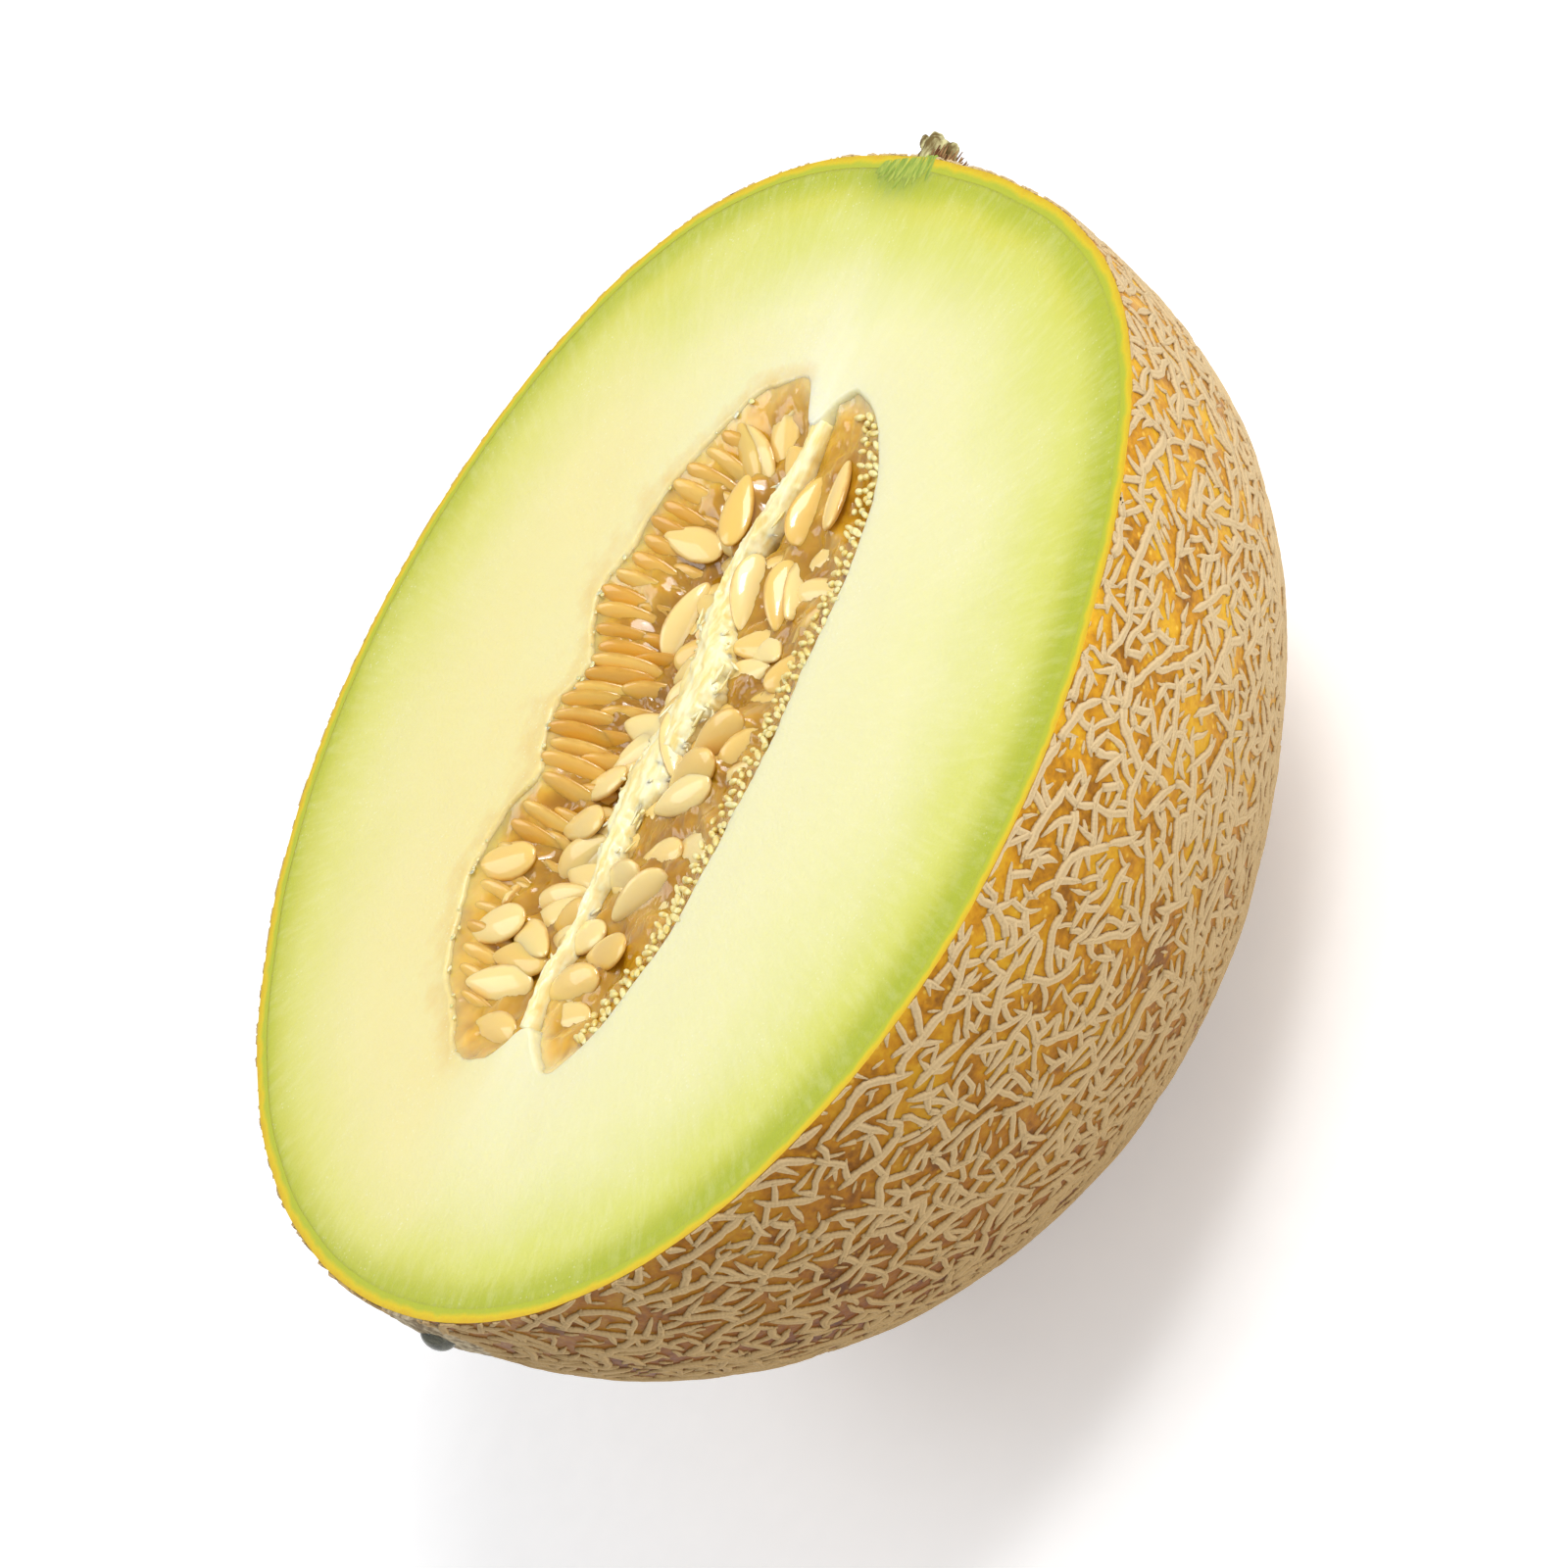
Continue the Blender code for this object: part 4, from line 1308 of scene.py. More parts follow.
@dataclass(frozen=True)
class SeedPlace:
    """Where a seed lies.

    The place is in mm about the middle of the fruit, heading and rise are its tip's in degrees,
    and face is how far its flat side turns from straight up to the near side, in degrees.
    """

    x: float
    y: float
    z: float
    heading: float
    rise: float
    face: float

    def matrix(self) -> Matrix:
        """The seed's place and turn, in the part's frame."""
        heading, rise, face = (math.radians(part) for part in (self.heading, self.rise, self.face))
        along = Vector((math.cos(heading) * math.cos(rise), math.sin(heading) * math.cos(rise),
                        math.sin(rise)))
        looks = Vector((-0.2 * math.sin(face), -math.sin(face), math.cos(face)))
        flat = (looks - along * looks.dot(along)).normalized()
        side = flat.cross(along)
        turn = Matrix((along, side, flat)).transposed().to_4x4()
        return Matrix.Translation(MIDDLE + Vector((self.x, self.y, self.z))) @ turn


class View(Enum):
    """The two enlargements of the photograph in which the seeds were read: corner in pixels."""

    UPPER = (560, 370)
    LOWER = (430, 700)


@dataclass(frozen=True)
class SeedReading:
    """A seed as it was read in an enlargement of the photograph.

    Tip and tail are in the enlargement's pixels, depth is the tip's height over the cut face in mm,
    face is as in SeedPlace, and lift is what was added to the worked-out height, in mm.
    """

    view: View
    tip: tuple[int, int]
    tail: tuple[int, int]
    depth: float
    face: float
    lift: float = 0.0
    zoom: float = 4.0
    length: float = 10.0
    lowest_drop: float = -7.0
    drop_step: float = 0.1
    drops: int = 101
    drop_fault: float = 0.12
    highest_tail: float = -1.0
    high_fault: float = 5.0

    def seen(self, pixel: tuple[int, int], height: float) -> tuple[float, float, float]:
        """Where the line of sight through a pixel meets a level over the cut face.

        Args:
            pixel: the pixel, in the enlargement.
            height: the level, in mm.

        Returns:
            The place about the fruit's middle, in mm.
        """
        u, v = (corner + part / self.zoom for corner, part in zip(self.view.value, pixel))
        return Sight().meet(u, v, height)

    def place(self) -> SeedPlace:
        """Works out the place of the seed, whose tail lies where that makes it its true length.

        Returns:
            The place, to the 0.1 mm and the degree that a reading is good to.
        """
        tip = self.seen(self.tip, self.depth)
        best = None
        for count in range(self.drops):
            drop = self.lowest_drop + count * self.drop_step
            tail = self.seen(self.tail, self.depth + drop)
            length = math.dist(tip, tail)
            fault = abs(length - self.length) + self.drop_fault * abs(drop)
            if self.depth + drop > self.highest_tail:
                fault += self.high_fault
            if best is None or fault < best[0]:
                best = (fault, tail, length)
        _, tail, length = best
        x, y, z = (round((one + other) / 2, 1) for one, other in zip(tip, tail))
        along = [(one - other) / length for one, other in zip(tip, tail)]
        heading = round(math.degrees(math.atan2(along[1], along[0])))
        rise = round(math.degrees(math.asin(along[2])))
        return SeedPlace(x, y, round(z + self.lift, 1), heading, rise, self.face)


@dataclass
class SeedShape:
    """A melon seed: a flat almond, pointed at one end, with a thin margin."""

    length: float = 10.3
    width: float = 4.7
    thickness: float = 1.65
    taper: float = 0.26
    bluntness: float = 1.0
    fullness: float = 1.15
    belly: float = 0.46
    size_range: tuple[float, float] = (-0.06, 0.05)
    plump_range: tuple[float, float] = (-0.15, 0.15)
    bend_range: tuple[float, float] = (-0.3, 0.3)
    rounds: int = 22
    rings: int = 16

    def add_to(self, bm: bmesh.types.BMesh, place: Matrix, dice: random.Random) -> None:
        """Adds a seed to a mesh.

        Args:
            bm: the mesh, with the layers tone and margin.
            place: where the seed goes.
            dice: what its size and tone vary by.
        """
        tone_layer = bm.verts.layers.float["tone"]
        margin_layer = bm.verts.layers.float["margin"]
        made = bmesh.ops.create_uvsphere(bm, u_segments=self.rounds, v_segments=self.rings, radius=1.0)
        size = 1.0 + dice.uniform(*self.size_range)
        plump = 1.0 + dice.uniform(*self.plump_range)
        bend = dice.uniform(*self.bend_range)
        tone = dice.random()
        for vert in made["verts"]:
            along, turn = vert.co.z, math.atan2(vert.co.y, vert.co.x)
            girth = math.sqrt(max(0.0, 1.0 - along * along))
            reach = math.copysign(abs(along) ** self.bluntness, along)
            narrowed = 1.0 - self.taper * along - self.belly * self.taper * along * along
            wide = girth ** self.bluntness * narrowed
            across = math.copysign(abs(math.cos(turn)) ** self.fullness, math.cos(turn))
            thick = math.copysign(abs(math.sin(turn)) ** self.fullness, math.sin(turn))
            vert[tone_layer] = tone
            vert[margin_layer] = max(abs(math.cos(turn)) ** 3, abs(along) ** 8)
            shape = Vector((reach * self.length / 2,
                            across * wide * self.width / 2 + bend * along * along,
                            thick * girth ** (0.9 * self.bluntness) * self.thickness / 2 * plump))
            vert.co = place @ (shape * size)


@dataclass
class SeedBunch:
    """The seeds of both halves of the cavity, with their jelly and beads."""

    cavity: Cavity
    shape: SeedShape = field(default_factory=SeedShape)
    rims: tuple[list[Vector], list[Vector]] = field(init=False)
    # The seeds that lie open, each read in an enlargement of the photograph.
    far_lying: tuple[SeedReading, ...] = (
        SeedReading(View.UPPER, (985, 115), (950, 440), -1.3, 15),
        SeedReading(View.UPPER, (790, 235), (990, 330), -2.2, 30),
        SeedReading(View.UPPER, (840, 120), (1010, 200), -1.6, 55),
        SeedReading(View.UPPER, (772, 240), (855, 500), -1.2, -30),
        SeedReading(View.UPPER, (800, 250), (915, 490), -1.2, -30),
        SeedReading(View.UPPER, (810, 455), (730, 750), -1.6, 20),
        SeedReading(View.UPPER, (470, 700), (710, 775), -1.6, 20),
        SeedReading(View.UPPER, (650, 895), (480, 1215), -4.5, 50),
        SeedReading(View.LOWER, (305, 600), (600, 560), -1.8, 20),
        SeedReading(View.LOWER, (215, 750), (460, 695), -1.4, 25),
        SeedReading(View.LOWER, (190, 1010), (410, 930), -1.6, 20, -0.4),
        SeedReading(View.LOWER, (510, 1100), (400, 970), -2.6, 45),
        SeedReading(View.LOWER, (300, 1090), (510, 1125), -2.6, 10),
        SeedReading(View.LOWER, (190, 1215), (445, 1225), -1.8, 40),
        SeedReading(View.LOWER, (180, 1285), (400, 1335), -3.0, -20),
        SeedReading(View.LOWER, (210, 1385), (390, 1415), -2.6, 45),
        SeedReading(View.LOWER, (180, 1520), (175, 1370), -1.6, 45),
        SeedReading(View.LOWER, (635, 320), (880, 90), -5.0, -10),
        SeedReading(View.LOWER, (650, 370), (930, 180), -5.0, 0),
        SeedReading(View.LOWER, (655, 450), (840, 365), -5.0, -10),
        SeedReading(View.LOWER, (585, 590), (745, 540), -4.6, 10, 0.1),
        SeedReading(View.LOWER, (345, 880), (430, 790), -2.0, -10))
    near_lying: tuple[SeedReading, ...] = (
        SeedReading(View.UPPER, (1115, 460), (985, 745), -2.6, 57, -0.3),
        SeedReading(View.UPPER, (1205, 395), (1115, 670), -1.8, -20, -0.7),
        SeedReading(View.UPPER, (1000, 345), (1080, 520), -3.5, 50),
        SeedReading(View.UPPER, (775, 1095), (850, 780), -3.4, 57),
        SeedReading(View.UPPER, (920, 1105), (975, 800), -3.6, 50),
        SeedReading(View.UPPER, (985, 1050), (1090, 810), -3.4, 60),
        SeedReading(View.UPPER, (940, 1200), (830, 1110), -3.8, 50),
        SeedReading(View.LOWER, (1035, 385), (1050, 85), -3.6, 57),
        SeedReading(View.LOWER, (1115, 290), (1310, 120), -3.6, 50),
        SeedReading(View.LOWER, (1020, 420), (1190, 290), -4.2, 40),
        SeedReading(View.LOWER, (810, 575), (1150, 440), -4.2, 20, 0.6),
        SeedReading(View.LOWER, (950, 515), (1180, 390), -3.6, 30),
        SeedReading(View.LOWER, (810, 700), (1130, 590), -4.0, 30, 0.5),
        SeedReading(View.LOWER, (745, 855), (890, 740), -5.0, 45),
        SeedReading(View.LOWER, (785, 965), (995, 760), -3.6, 60),
        SeedReading(View.LOWER, (530, 1030), (715, 890), -5.4, 40),
        SeedReading(View.LOWER, (505, 1280), (720, 1170), -3.0, 40),
        SeedReading(View.LOWER, (480, 1310), (705, 1300), -3.4, 10),
        SeedReading(View.LOWER, (470, 1390), (690, 1350), -3.4, 20),
        SeedReading(View.LOWER, (565, 1050), (750, 1010), -4.2, 0),
        SeedReading(View.LOWER, (670, 1120), (830, 1065), -3.8, 20))

    def __post_init__(self) -> None:
        """Looks up the cavity's rim, near and far."""
        self.rims = (self.cavity.rim_points(False), self.cavity.rim_points(True))

    def seeded_mesh(self) -> bmesh.types.BMesh:
        """An empty mesh with the layers that the seed coat reads."""
        bm = bmesh.new()
        bm.verts.layers.float.new("tone")
        bm.verts.layers.float.new("margin")
        return bm

    def read_places(self, far: bool) -> list[SeedPlace]:
        """Where the seeds of one half lie that were read one by one."""
        return [reading.place() for reading in (self.far_lying if far else self.near_lying)]

    def lying(self, name: str, places: Iterable[SeedPlace], node: str, seed: int) -> bpy.types.Object:
        """Builds seeds that lie where they are seen.

        Args:
            name: the piece's name.
            places: where the seeds lie.
            node: the CAD node that they stand for.
            seed: what they vary by.

        Returns:
            The piece.
        """
        dice = random.Random(seed)
        bm = self.seeded_mesh()
        for place in places:
            self.shape.add_to(bm, place.matrix(), dice)
        bmesh.ops.recalc_face_normals(bm, faces=bm.faces[:])
        return finish_piece(bm, name, [SeedCoat().build()], Slot.SEEDS, node)

    def stack_places(self) -> list[Matrix]:
        """Where the seeds stand edge on against the far wall.

        Returns:
            Their places and turns.
        """
        dice = random.Random(8)
        places = []
        spots = [(36.5 - 2.55 * count, 0.0) for count in range(12)]
        spots += [(6.2 - 1.95 * count, 0.0) for count in range(10)]
        spots += [(-15.5 - 2.7 * count, 0.9) for count in range(10)]
        spots += [(33.0 - 3.4 * count, 3.6) for count in range(19)]
        for x, sunk in spots:
            x += dice.uniform(-0.25, 0.25)
            rim = self.cavity.middle_y + self.half_width_at(x, True)
            lean = -0.26 + 0.5 * math.exp(-((x - 1.0) / 13.0) ** 2) + dice.uniform(-0.1, 0.1)
            down = Vector((lean, -0.78, -0.58 + dice.uniform(-0.06, 0.06))).normalized()
            top = MIDDLE + Vector((x, rim - 0.1 - sunk * 1.3, -0.45 - sunk * 0.75))
            middle = top + down * dice.uniform(4.5, 5.3)
            flat = Vector((-0.8, dice.uniform(-0.5, -0.2), dice.uniform(0.25, 0.6)))
            flat = (flat - down * flat.dot(down)).normalized()
            turned = Matrix((-down, flat.cross(-down), flat)).transposed().to_4x4()
            places.append(Matrix.Translation(middle) @ turned)
        return places

    def stack(self) -> bpy.types.Object:
        """Builds the seeds that stand edge on against the far wall.

        Returns:
            The piece.
        """
        dice = random.Random(8)
        bm = self.seeded_mesh()
        strip = SeedShape(length=10.0, thickness=1.6, taper=0.2, bluntness=0.85)
        for place in self.stack_places():
            strip.add_to(bm, place, dice)
        bmesh.ops.recalc_face_normals(bm, faces=bm.faces[:])
        coat = SeedCoat("seed_coat_in_jelly", face="#F0C866", honey="#DFA83C", edge="#B57E14")
        return finish_piece(bm, "seeds_far_stack", [coat.build()], Slot.SEEDS, "seeds_far")

    def sunk_places(self, far: bool) -> list[SeedPlace]:
        """Where seeds lie deeper, under those that are placed one by one.

        Args:
            far: whether for the far half.

        Returns:
            Their places.
        """
        dice = random.Random(40 + far)
        places = []
        for count in range(34):
            x = -41.0 + 2.42 * count + dice.uniform(-0.8, 0.8)
            half = self.half_width_at(x, far)
            share = dice.uniform(0.12, 0.4) if far else (0.25, 0.62)[count % 2] + dice.uniform(-0.1, 0.1)
            y = self.cavity.middle_y + half * share * (1 if far else -1)
            z = -5.4 + dice.uniform(-0.5, 0.7) if far else -4.9 + dice.uniform(-0.4, 0.5)
            places.append(SeedPlace(x, y, z, dice.uniform(85.0, 145.0) + dice.choice((0.0, 180.0)),
                                    dice.uniform(-14.0, 14.0), dice.uniform(0.0, 55.0)))
        return places

    def cling_lines(self, far: bool) -> list[tuple[Vector, Vector]]:
        """The axes of the seeds of one half, which the jelly climbs."""
        half = self.shape.length * 0.42
        matrices = [place.matrix() for place in self.read_places(far)]
        if far:
            matrices += self.stack_places()
        return [(matrix @ Vector((-half, 0.0, 0.0)), matrix @ Vector((half, 0.0, 0.0)))
                for matrix in matrices]

    def jelly(self, name: str, far: bool, node: str) -> bpy.types.Object:
        """Builds the jelly of one half of the cavity as a lumpy closed body.

        Args:
            name: the piece's name.
            far: whether it is the far half.
            node: the CAD node that it stands for.

        Returns:
            The piece.
        """
        bm = bmesh.new()
        bmesh.ops.create_grid(bm, x_segments=280, y_segments=64, size=1.0)
        sunk = bm.verts.layers.float.new("sunk")
        pale = bm.verts.layers.float.new("pale")
        lines = self.cling_lines(far)
        middle = Vector((self.cavity.middle_x, self.cavity.middle_y, 0.0))
        for vert in bm.verts:
            turn = (vert.co.x + 1) / 2 * math.pi * (1 if far else -1)
            full = self.cavity.reach(turn) + 0.9
            reach = full * max((vert.co.y + 1) / 2, 0.01)
            vert[pale] = max(0.0, 1.0 - (full - reach) / 4.2) * (0.4 if far else 0.9)
            place = middle + Vector((math.cos(turn), math.sin(turn), 0.0)) * reach
            side = min(1.0, abs(place.y - middle.y) / (self.half_width_at(place.x, far) + 0.9))
            level = self.level(place.x, place.y, side, far, lines)
            vert.co = place + UP * (CUT_HEIGHT + level)
            # How much painted shade the jelly takes, more the deeper it lies under the cut face.
            vert[sunk] = min(0.95, max(0.0, (-level - 1.5) / 4.0))
        made = bmesh.ops.extrude_face_region(bm, geom=bm.faces[:], use_keep_orig=True)["geom"]
        for vert in new_vertices(made):
            vert.co.z -= 5.0
            vert.co.y += (self.cavity.middle_y - vert.co.y) * 0.25
        close_holes(bm)
        return finish_piece(bm, name, [SeedJelly().build()], Slot.SEEDS, node)

    def half_width_at(self, x: float, far: bool) -> float:
        """How far the cavity reaches across at x, on one side of its middle."""
        points = self.rims[far]
        for start, end in zip(points, points[1:]):
            if start.x <= x <= end.x:
                share = (x - start.x) / max(end.x - start.x, 1e-6)
                across = start.y + (end.y - start.y) * share
                return max(abs(across - self.cavity.middle_y) - 0.1, 0.6)
        return 0.6

    def level(self, x: float, y: float, side: float, far: bool,
              lines: list[tuple[Vector, Vector]]) -> float:
        """The jelly's height under the cut face.

        Args:
            x: along the fruit.
            y: across it.
            side: the share of the way from the cavity's middle to its wall.
            far: whether it is the far half.
            lines: the axes of the seeds that it climbs.

        Returns:
            The height in mm, below 0.
        """
        end = abs(x - self.cavity.middle_x) / self.cavity.half_length
        if far:
            slope = -0.3 - 5.5 * min(1.0, (1.0 - side) * 1.9) * (1 - end ** 4)
        else:
            slope = -0.5 - 3.6 * math.sin(min(1.0, (1.0 - side) * 1.8) * math.pi / 2) * (1 - end ** 4)
        lumps = noise.noise(Vector((x * 0.22, y * 0.22, 7.0))) * 1.2
        lumps += noise.noise(Vector((x * 0.6, y * 0.6, 2.0))) * 0.5
        lumps += noise.noise(Vector((x * 1.5, y * 1.5, 5.0))) * 0.2
        base = slope + lumps * min(1.0, 2.2 * (1 - side) + 0.15)
        climbed = base
        for tail, tip in lines:
            if not (min(tail.x, tip.x) - 4.0 < x < max(tail.x, tip.x) + 4.0):
                continue
            run = Vector((tip.x - tail.x, tip.y - tail.y))
            share = ((x - tail.x) * run.x + (y - tail.y) * run.y) / max(run.length_squared, 1e-6)
            share = max(0.0, min(1.0, share))
            away = math.hypot(x - tail.x - run.x * share, y - tail.y - run.y * share)
            if away < 3.6:
                hold = (1.0 - away / 3.6) ** 1.5
                height = tail.z + (tip.z - tail.z) * share - CUT_HEIGHT - 0.1
                climbed = max(climbed, base + (height - base) * hold)
        return min(climbed, -0.25)

    def beads(self) -> bpy.types.Object:
        """Builds the rows of pale pegs along the near rim.

        Returns:
            The piece.
        """
        dice = random.Random(21)
        bm = bmesh.new()
        # Each row of beads: how far inside the rim, its height over the cut, and its count.
        rows = ((0.55, -0.35, 66), (2.2, -0.75, 60), (3.9, -1.3, 54))
        for row, (set_in, low, count) in enumerate(rows):
            for number in range(count):
                share = (number + 0.5 * (row % 2)) / (count - 1)
                x = 41.5 - 82.5 * share + dice.uniform(-0.35, 0.35)
                half = self.half_width_at(x, False)
                y = self.cavity.middle_y - half + set_in + dice.uniform(-0.45, 0.45)
                made = bmesh.ops.create_uvsphere(bm, u_segments=10, v_segments=7, radius=1.0)["verts"]
                girth = dice.uniform(0.34, 0.45)
                reach = dice.uniform(0.9, 1.4)
                bmesh.ops.scale(bm, vec=(girth, reach, girth), verts=made)
                leans = (Matrix.Rotation(math.radians(dice.uniform(-35, 10)), 3, "Z")
                         @ Matrix.Rotation(math.radians(dice.uniform(-40, 0)), 3, "X"))
                bmesh.ops.rotate(bm, matrix=leans, verts=made)
                z = CUT_HEIGHT + low + dice.uniform(-0.2, 0.2)
                bmesh.ops.translate(bm, vec=(x, y, z), verts=made)
        for vert in bm.verts:
            vert.co.z = min(vert.co.z, CUT_HEIGHT - 0.02)
        pale = PaleTissue("seed_thread_ends", "#F8ECAE", "#E6CA70", 0.9)
        return finish_piece(bm, "seeds_near_beads", [pale.build()], Slot.SEEDS, "seeds_near")


@dataclass
class Stalk:
    """The dry stub of the stalk, its frayed foot, and its green root in the flesh."""

    centre: Vector = field(default_factory=lambda: Vector((75.6, 8.2, -2.6)))
    lobes: int = 3

    def section(self, bm: bmesh.types.BMesh, stations: Iterable[tuple[float, float, float, float]],
                sides: int, depth: float) -> None:
        """Sweeps a lobed section along the stalk.

        Args:
            bm: the mesh.
            stations: along, half width, half height and shift, in mm.
            sides: the number of sides.
            depth: the depth of the lobes as a share.
        """
        circle = bmesh.ops.create_circle(bm, segments=sides, radius=1.0)["verts"]
        turns = bm.verts.layers.int["turn"]
        for vert in circle:
            vert[turns] = round(math.atan2(vert.co.y, vert.co.x) / (2 * math.pi) * sides) % sides
        edges = list({edge for vert in circle for edge in vert.link_edges})
        verts = circle
        for count, (along, wide, tall, shift) in enumerate(stations):
            if count:
                verts, edges = extrude_line(bm, edges)
            for vert in verts:
                turn = vert[turns] / sides * 2 * math.pi
                lobe = 1.0 + depth * math.cos(self.lobes * turn + along * 0.25)
                lobe += 0.06 * noise.noise(Vector((along * 0.8, turn * 3.0, 0.0)))
                vert.co = MIDDLE + self.centre + Vector((
                    along, math.cos(turn) * wide * lobe, shift + math.sin(turn) * tall * lobe))
                if along < 1.0:
                    vert.co.z = min(vert.co.z, CUT_HEIGHT - 0.12)

    def stub(self) -> bpy.types.Object:
        """Builds the dry stub with two lobes at its top.

        Returns:
            The piece.
        """
        bm = bmesh.new()
        bm.verts.layers.int.new("turn")
        stations = ((-0.6, 3.4, 3.2, 0.0), (0.6, 3.3, 3.0, 0.0), (1.3, 2.6, 2.5, 0.1),
                    (2.1, 2.3, 2.2, 0.2), (2.9, 2.2, 2.2, 0.3), (3.6, 2.0, 2.0, 0.4),
                    (4.1, 1.5, 1.5, 0.5), (4.4, 0.8, 0.8, 0.5), (4.5, 0.3, 0.3, 0.5))
        self.section(bm, stations, 40, 0.10)
        for offset, girths, lean in ((Vector((3.2, 2.2, 0.9)), (0.75, 0.8, 1.9), 48.0),
                                     (Vector((3.0, -1.3, -0.2)), (1.15, 1.2, 1.5), -22.0),
                                     (Vector((3.4, 0.7, 0.7)), (1.35, 1.3, 1.6), 12.0)):
            made = bmesh.ops.create_uvsphere(bm, u_segments=20, v_segments=14, radius=1.0)["verts"]
            for vert in made:
                ripple = 1.0 + 0.22 * noise.noise(vert.co * 2.2 + offset)
                sized = [part * girth for part, girth in zip(vert.co, girths)]
                vert.co = Vector(sized) * ripple
            turn = Matrix.Rotation(math.radians(90.0), 3, "Y")
            bmesh.ops.rotate(bm, matrix=Matrix.Rotation(math.radians(lean), 3, "Z") @ turn, verts=made)
            bmesh.ops.translate(bm, vec=MIDDLE + self.centre + offset, verts=made)
        close_holes(bm)
        dry = DryTissue("dry_stalk", "#CFC890", "#6E5A2C", ribs=1.0, roughness=0.7)
        return finish_piece(bm, "stalk_stub", [dry.build()], Slot.STALK, "stalk")

    def fray(self) -> bpy.types.Object:
        """Builds the brown fibres that fray round the stub's foot.

        Returns:
            The piece.
        """
        dice = random.Random(4)
        bm = bmesh.new()
        for _ in range(60):
            turn = dice.gauss(-1.9, 0.9)
            made = bmesh.ops.create_cone(bm, cap_ends=True, segments=6, radius1=dice.uniform(0.22, 0.42),
                                         radius2=0.07, depth=1.0)["verts"]
            length = dice.uniform(1.8, 3.6)
            bmesh.ops.scale(bm, vec=(1, 1, length), verts=made)
            bmesh.ops.translate(bm, vec=(0, 0, length / 2), verts=made)
            out = Vector((0.0, math.sin(turn), math.cos(turn)))
            way = Vector((dice.uniform(0.35, 1.1), 0.0, 0.0)) + out * dice.uniform(-0.25, 0.35)
            way.normalize()
            bmesh.ops.rotate(bm, matrix=way.to_track_quat("Z", "Y").to_matrix(), verts=made)
            foot = Vector((dice.uniform(-0.6, 0.3), out.y * 2.9, out.z * 2.4))
            bmesh.ops.translate(bm, vec=MIDDLE + self.centre + foot, verts=made)
        for vert in bm.verts:
            vert.co.z = min(vert.co.z, CUT_HEIGHT - 0.1)
        dry = DryTissue("frayed_stalk_fibre", "#B08A5A", "#6A4020", ribs=0.6)
        return finish_piece(bm, "stalk_fray", [dry.build()], Slot.STALK, "stalk")

    def root(self) -> bpy.types.Object:
        """Builds the green root that carries the stalk into the flesh.

        Returns:
            The piece.
        """
        dice = random.Random(6)
        bm = bmesh.new()
        for count in range(18):
            made = bmesh.ops.create_uvsphere(bm, u_segments=10, v_segments=12, radius=1.0)["verts"]
            reach = dice.uniform(1.7, 3.0) * (1.0 - 0.04 * abs(count - 6))
            girth = dice.uniform(0.3, 0.6)
            bmesh.ops.scale(bm, vec=(girth, girth, reach), verts=made)
            across = (count - 6) * 0.55 + dice.uniform(-0.2, 0.2)
            way = Vector((-1.0, 0.1 + 0.07 * across + dice.uniform(-0.12, 0.12), 0.0)).normalized()
            bmesh.ops.rotate(bm, matrix=way.to_track_quat("Z", "Y").to_matrix(), verts=made)
            bend = (across + self.centre.y) ** 2 - self.centre.y ** 2
            foot = Vector((0.7 - bend / 152.0, across, -self.centre.z - girth * 0.45))
            foot += way * reach * 0.85
            bmesh.ops.translate(bm, vec=MIDDLE + self.centre + foot, verts=made)
            for vert in made:
                vert.co.z = min(vert.co.z, CUT_HEIGHT + 0.015 + 0.003 * count)
        bmesh.ops.recalc_face_normals(bm, faces=bm.faces[:])
        green = DryTissue("green_stalk_root", "#AEBB4E", "#86A038", ribs=0.7, roughness=0.5)
        return finish_piece(bm, "stalk_root", [green.build()], Slot.STALK, "stalk")


@dataclass
class JuiceDrops:
    """The clear drop that hangs at the blossom end, and the wet tissue along the far rim."""

    cavity: Cavity

    def hanging(self) -> bpy.types.Object:
        """Builds the hanging drop.

        Returns:
            The piece.
        """
        bm = bmesh.new()
        made = bmesh.ops.create_uvsphere(bm, u_segments=24, v_segments=16, radius=1.0)["verts"]
        for vert in made:
            vert.co = Vector((vert.co.x * 1.8, vert.co.y * 2.6, vert.co.z * 2.1))
        bmesh.ops.translate(bm, vec=MIDDLE + Vector((-78.6, -10.8, -5.2)), verts=made)
        return finish_piece(bm, "juice_drop_hanging", [Juice().build()], Slot.FLESH)

    def rim_tissue(self) -> bpy.types.Object:
        """Builds the torn wet tissue that clings along the far rim.

        Returns:
            The piece.
        """
        dice = random.Random(17)
        bm = bmesh.new()
        for _ in range(44):
            turn = math.radians(dice.uniform(18.0, 176.0))
            place = self.cavity.point(turn, 1.0, -0.25) + Vector((0.0, dice.uniform(-0.7, 0.9), 0.0))
            made = bmesh.ops.create_uvsphere(bm, u_segments=10, v_segments=7, radius=1.0)["verts"]
            size = dice.uniform(0.12, 0.36)
            bmesh.ops.scale(bm, vec=(size * dice.uniform(0.8, 2.2), size, size * 0.45), verts=made)
            bmesh.ops.rotate(bm, matrix=Matrix.Rotation(dice.uniform(0, math.pi), 3, "Z"), verts=made)
            bmesh.ops.translate(bm, vec=place, verts=made)
        for vert in bm.verts:
            vert.co.z = min(vert.co.z, CUT_HEIGHT + 0.2)
        wet = SeedJelly("wet_rim_tissue", "#F3E6A0", "#EBD68A", "#F8F3CC")
        return finish_piece(bm, "rim_tissue", [wet.build()], Slot.FLESH)


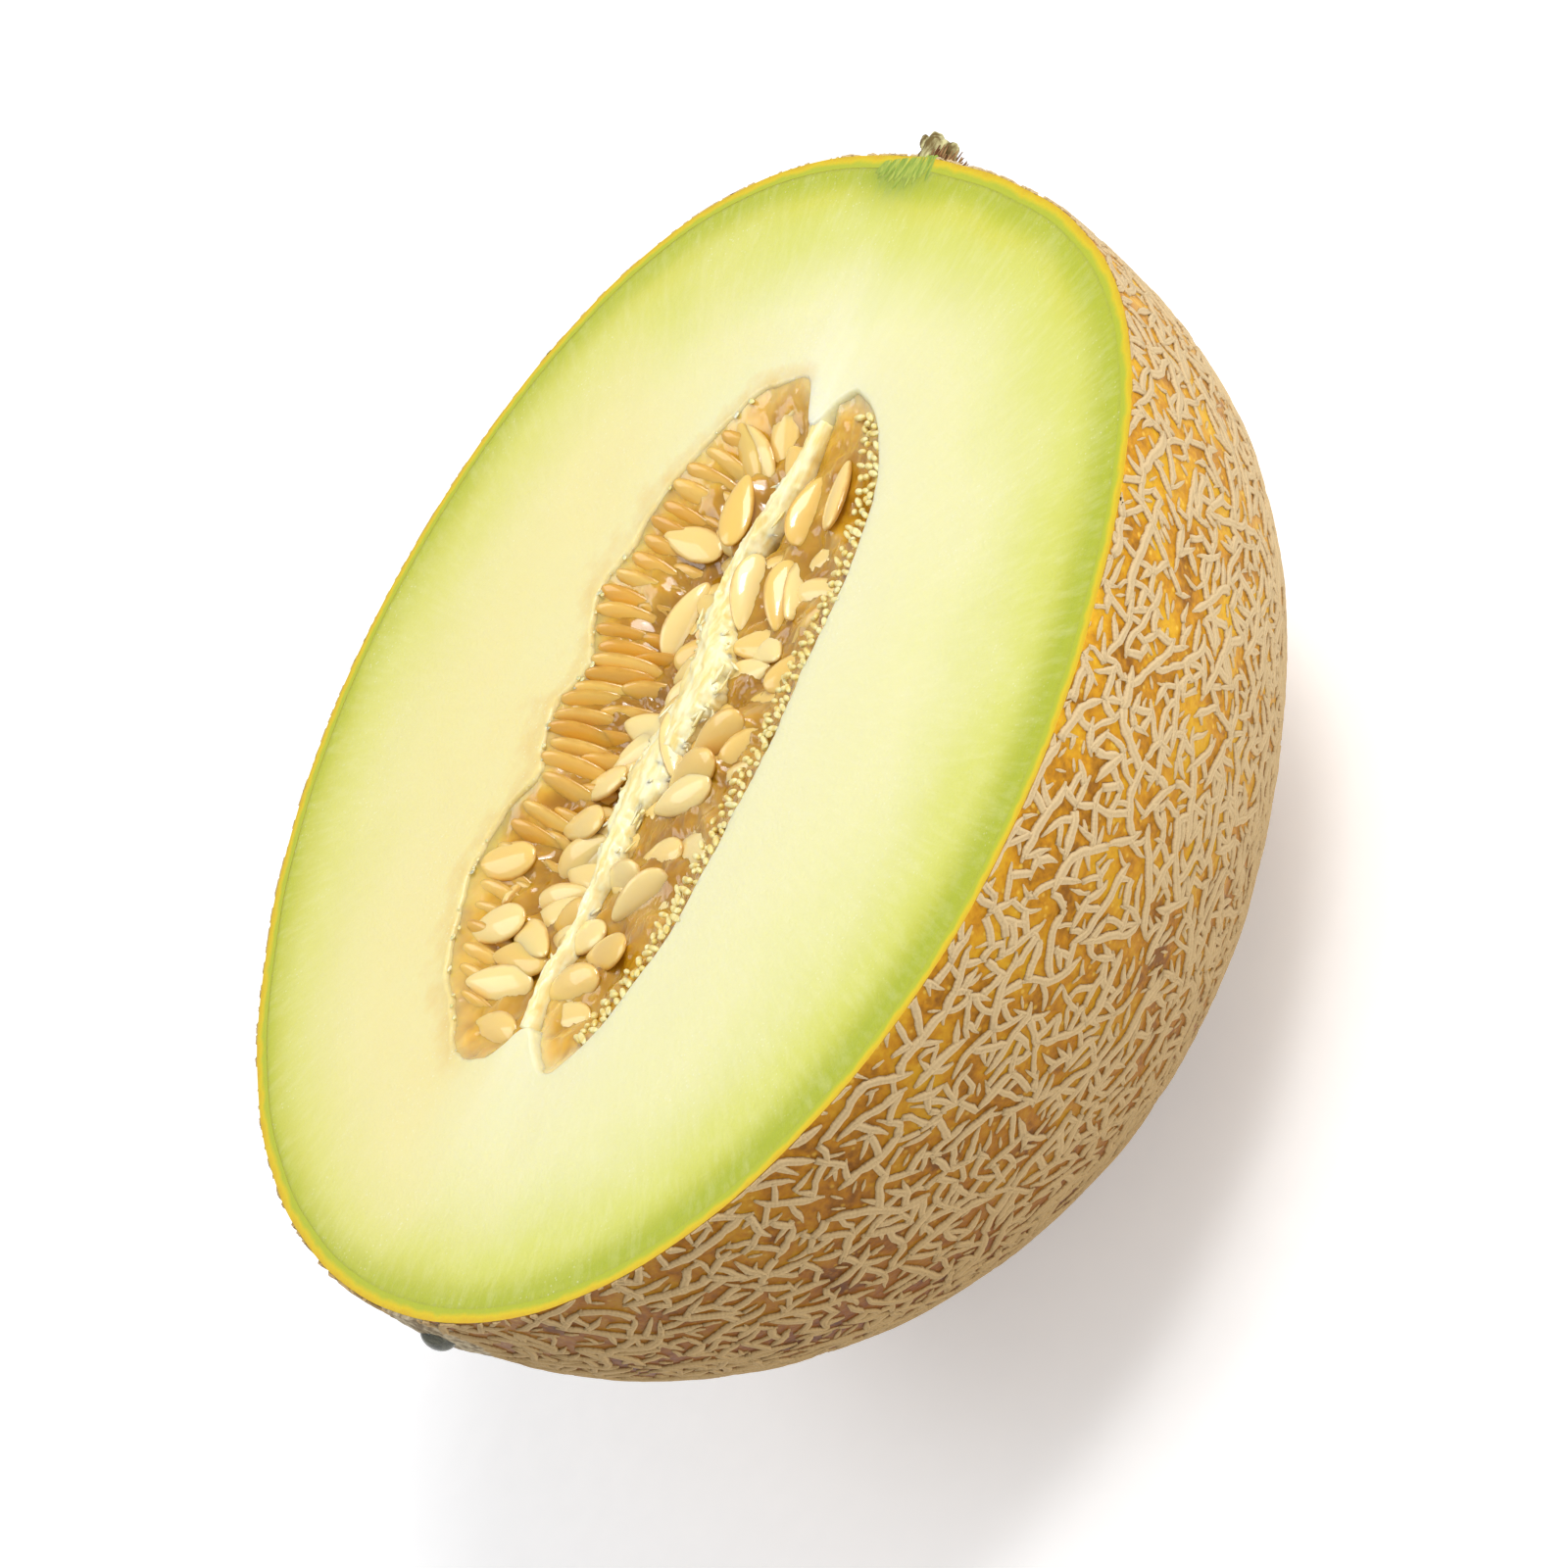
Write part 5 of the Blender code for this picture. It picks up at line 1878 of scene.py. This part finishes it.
@dataclass
class Studio:
    """The camera, the plain pale floor and the soft lights."""

    sight: Sight = field(default_factory=Sight)

    def camera(self) -> None:
        """Sets the camera at the photograph's viewing angle."""
        data = bpy.data.cameras.new("camera")
        data.lens = self.sight.lens
        data.sensor_width = self.sight.sensor
        data.clip_end = 20.0
        item = bpy.data.objects.new("camera", data)
        right, up = Vector(self.sight.right), Vector(self.sight.up)
        turn = Matrix((right, up, right.cross(up))).transposed().to_4x4()
        item.matrix_world = Matrix.Translation(Vector(self.sight.place) * METRES) @ turn
        bpy.context.scene.collection.objects.link(item)
        bpy.context.scene.camera = item

    def floor(self) -> None:
        """Lays the pale matt floor."""
        bm = bmesh.new()
        bmesh.ops.create_grid(bm, x_segments=2, y_segments=2, size=6.0)
        mesh = bpy.data.meshes.new("floor")
        bm.to_mesh(mesh)
        bm.free()
        material, tree, shader = new_material("white_paper_sweep")
        place = add(tree, "ShaderNodeTexCoord").outputs["Object"]
        fibre = add(tree, "ShaderNodeTexNoise", {"Scale": per_metre(4.0)}, {"Vector": place})
        colour = add(tree, "ShaderNodeValToRGB", {"ramp": ((0.3, "#F4F4F4"), (0.7, "#F7F7F7"))},
                     {"Fac": fibre.outputs[0]})
        tree.links.new(colour.outputs[0], shader.inputs["Base Color"])
        # The sweep is lit through from below, as for a cut-out picture, which keeps shadows pale.
        set_shader(shader, Roughness=0.9, Specular_IOR_Level=0.1, Emission_Strength=0.28,
                   Emission_Color=linear("#FFFFFF"))
        mesh.materials.append(material)
        floor = bpy.data.objects.new("floor", mesh)
        bpy.context.scene.collection.objects.link(floor)

    def light(self, name: str, place: Vector, size: float, power: float) -> None:
        """Hangs a soft square light that looks at the object.

        Args:
            name: the light's name.
            place: where it hangs, in metres.
            size: its side in metres.
            power: its power in watts.
        """
        data = bpy.data.lights.new(name, "AREA")
        data.shape = "SQUARE"
        data.size = size
        data.energy = power
        item = bpy.data.objects.new(name, data)
        aim = Vector((0.0, 0.0, 0.04)) - place
        item.matrix_world = Matrix.Translation(place) @ aim.to_track_quat("-Z", "Y").to_matrix().to_4x4()
        bpy.context.scene.collection.objects.link(item)

    def lights(self) -> None:
        """Hangs the key, the glint, the fill and the top light, and lights the room softly."""
        self.light("key_light", Vector((0.62, -0.28, 0.95)), 0.55, 6.0)
        self.light("glint_light", Vector((0.45, -0.5, 1.0)), 0.2, 2.4)
        self.light("fill_light", Vector((-0.1, -1.25, 0.45)), 0.9, 4.6)
        self.light("top_light", Vector((-0.35, 0.55, 1.1)), 0.7, 3.4)
        world = bpy.data.worlds.new("soft_room")
        world.use_nodes = True
        world.node_tree.nodes["Background"].inputs[0].default_value = linear("#F4F6FA")
        world.node_tree.nodes["Background"].inputs[1].default_value = 0.5
        bpy.context.scene.world = world
        bpy.context.scene.view_settings.view_transform = "Standard"
        bpy.context.scene.view_settings.look = "None"


def main() -> None:
    """Builds the object and its studio, piece by piece."""
    logging.basicConfig(level=logging.INFO, format="%(name)s %(message)s")
    form = FruitForm()
    cavity = Cavity()
    studio = Studio()
    studio.camera()
    studio.floor()
    studio.lights()
    rind = Rind(form)
    rind.skin()
    rind.net()
    rind.scar()
    flesh = Flesh(form, cavity)
    flesh.body()
    flesh.strand()
    seeds = SeedBunch(cavity)
    seeds.stack()
    seeds.lying("seeds_far_lying", seeds.read_places(True), "seeds_far", 31)
    seeds.lying("seeds_near_lying", seeds.read_places(False), "seeds_near", 32)
    seeds.lying("seeds_far_sunk", seeds.sunk_places(True), "seeds_far", 33)
    seeds.lying("seeds_near_sunk", seeds.sunk_places(False), "seeds_near", 34)
    seeds.jelly("jelly_far", True, "seeds_far")
    seeds.jelly("jelly_near", False, "seeds_near")
    seeds.beads()
    stalk = Stalk()
    stalk.stub()
    stalk.fray()
    stalk.root()
    drops = JuiceDrops(cavity)
    drops.hanging()
    drops.rim_tissue()


if __name__ == "__main__":
    main()
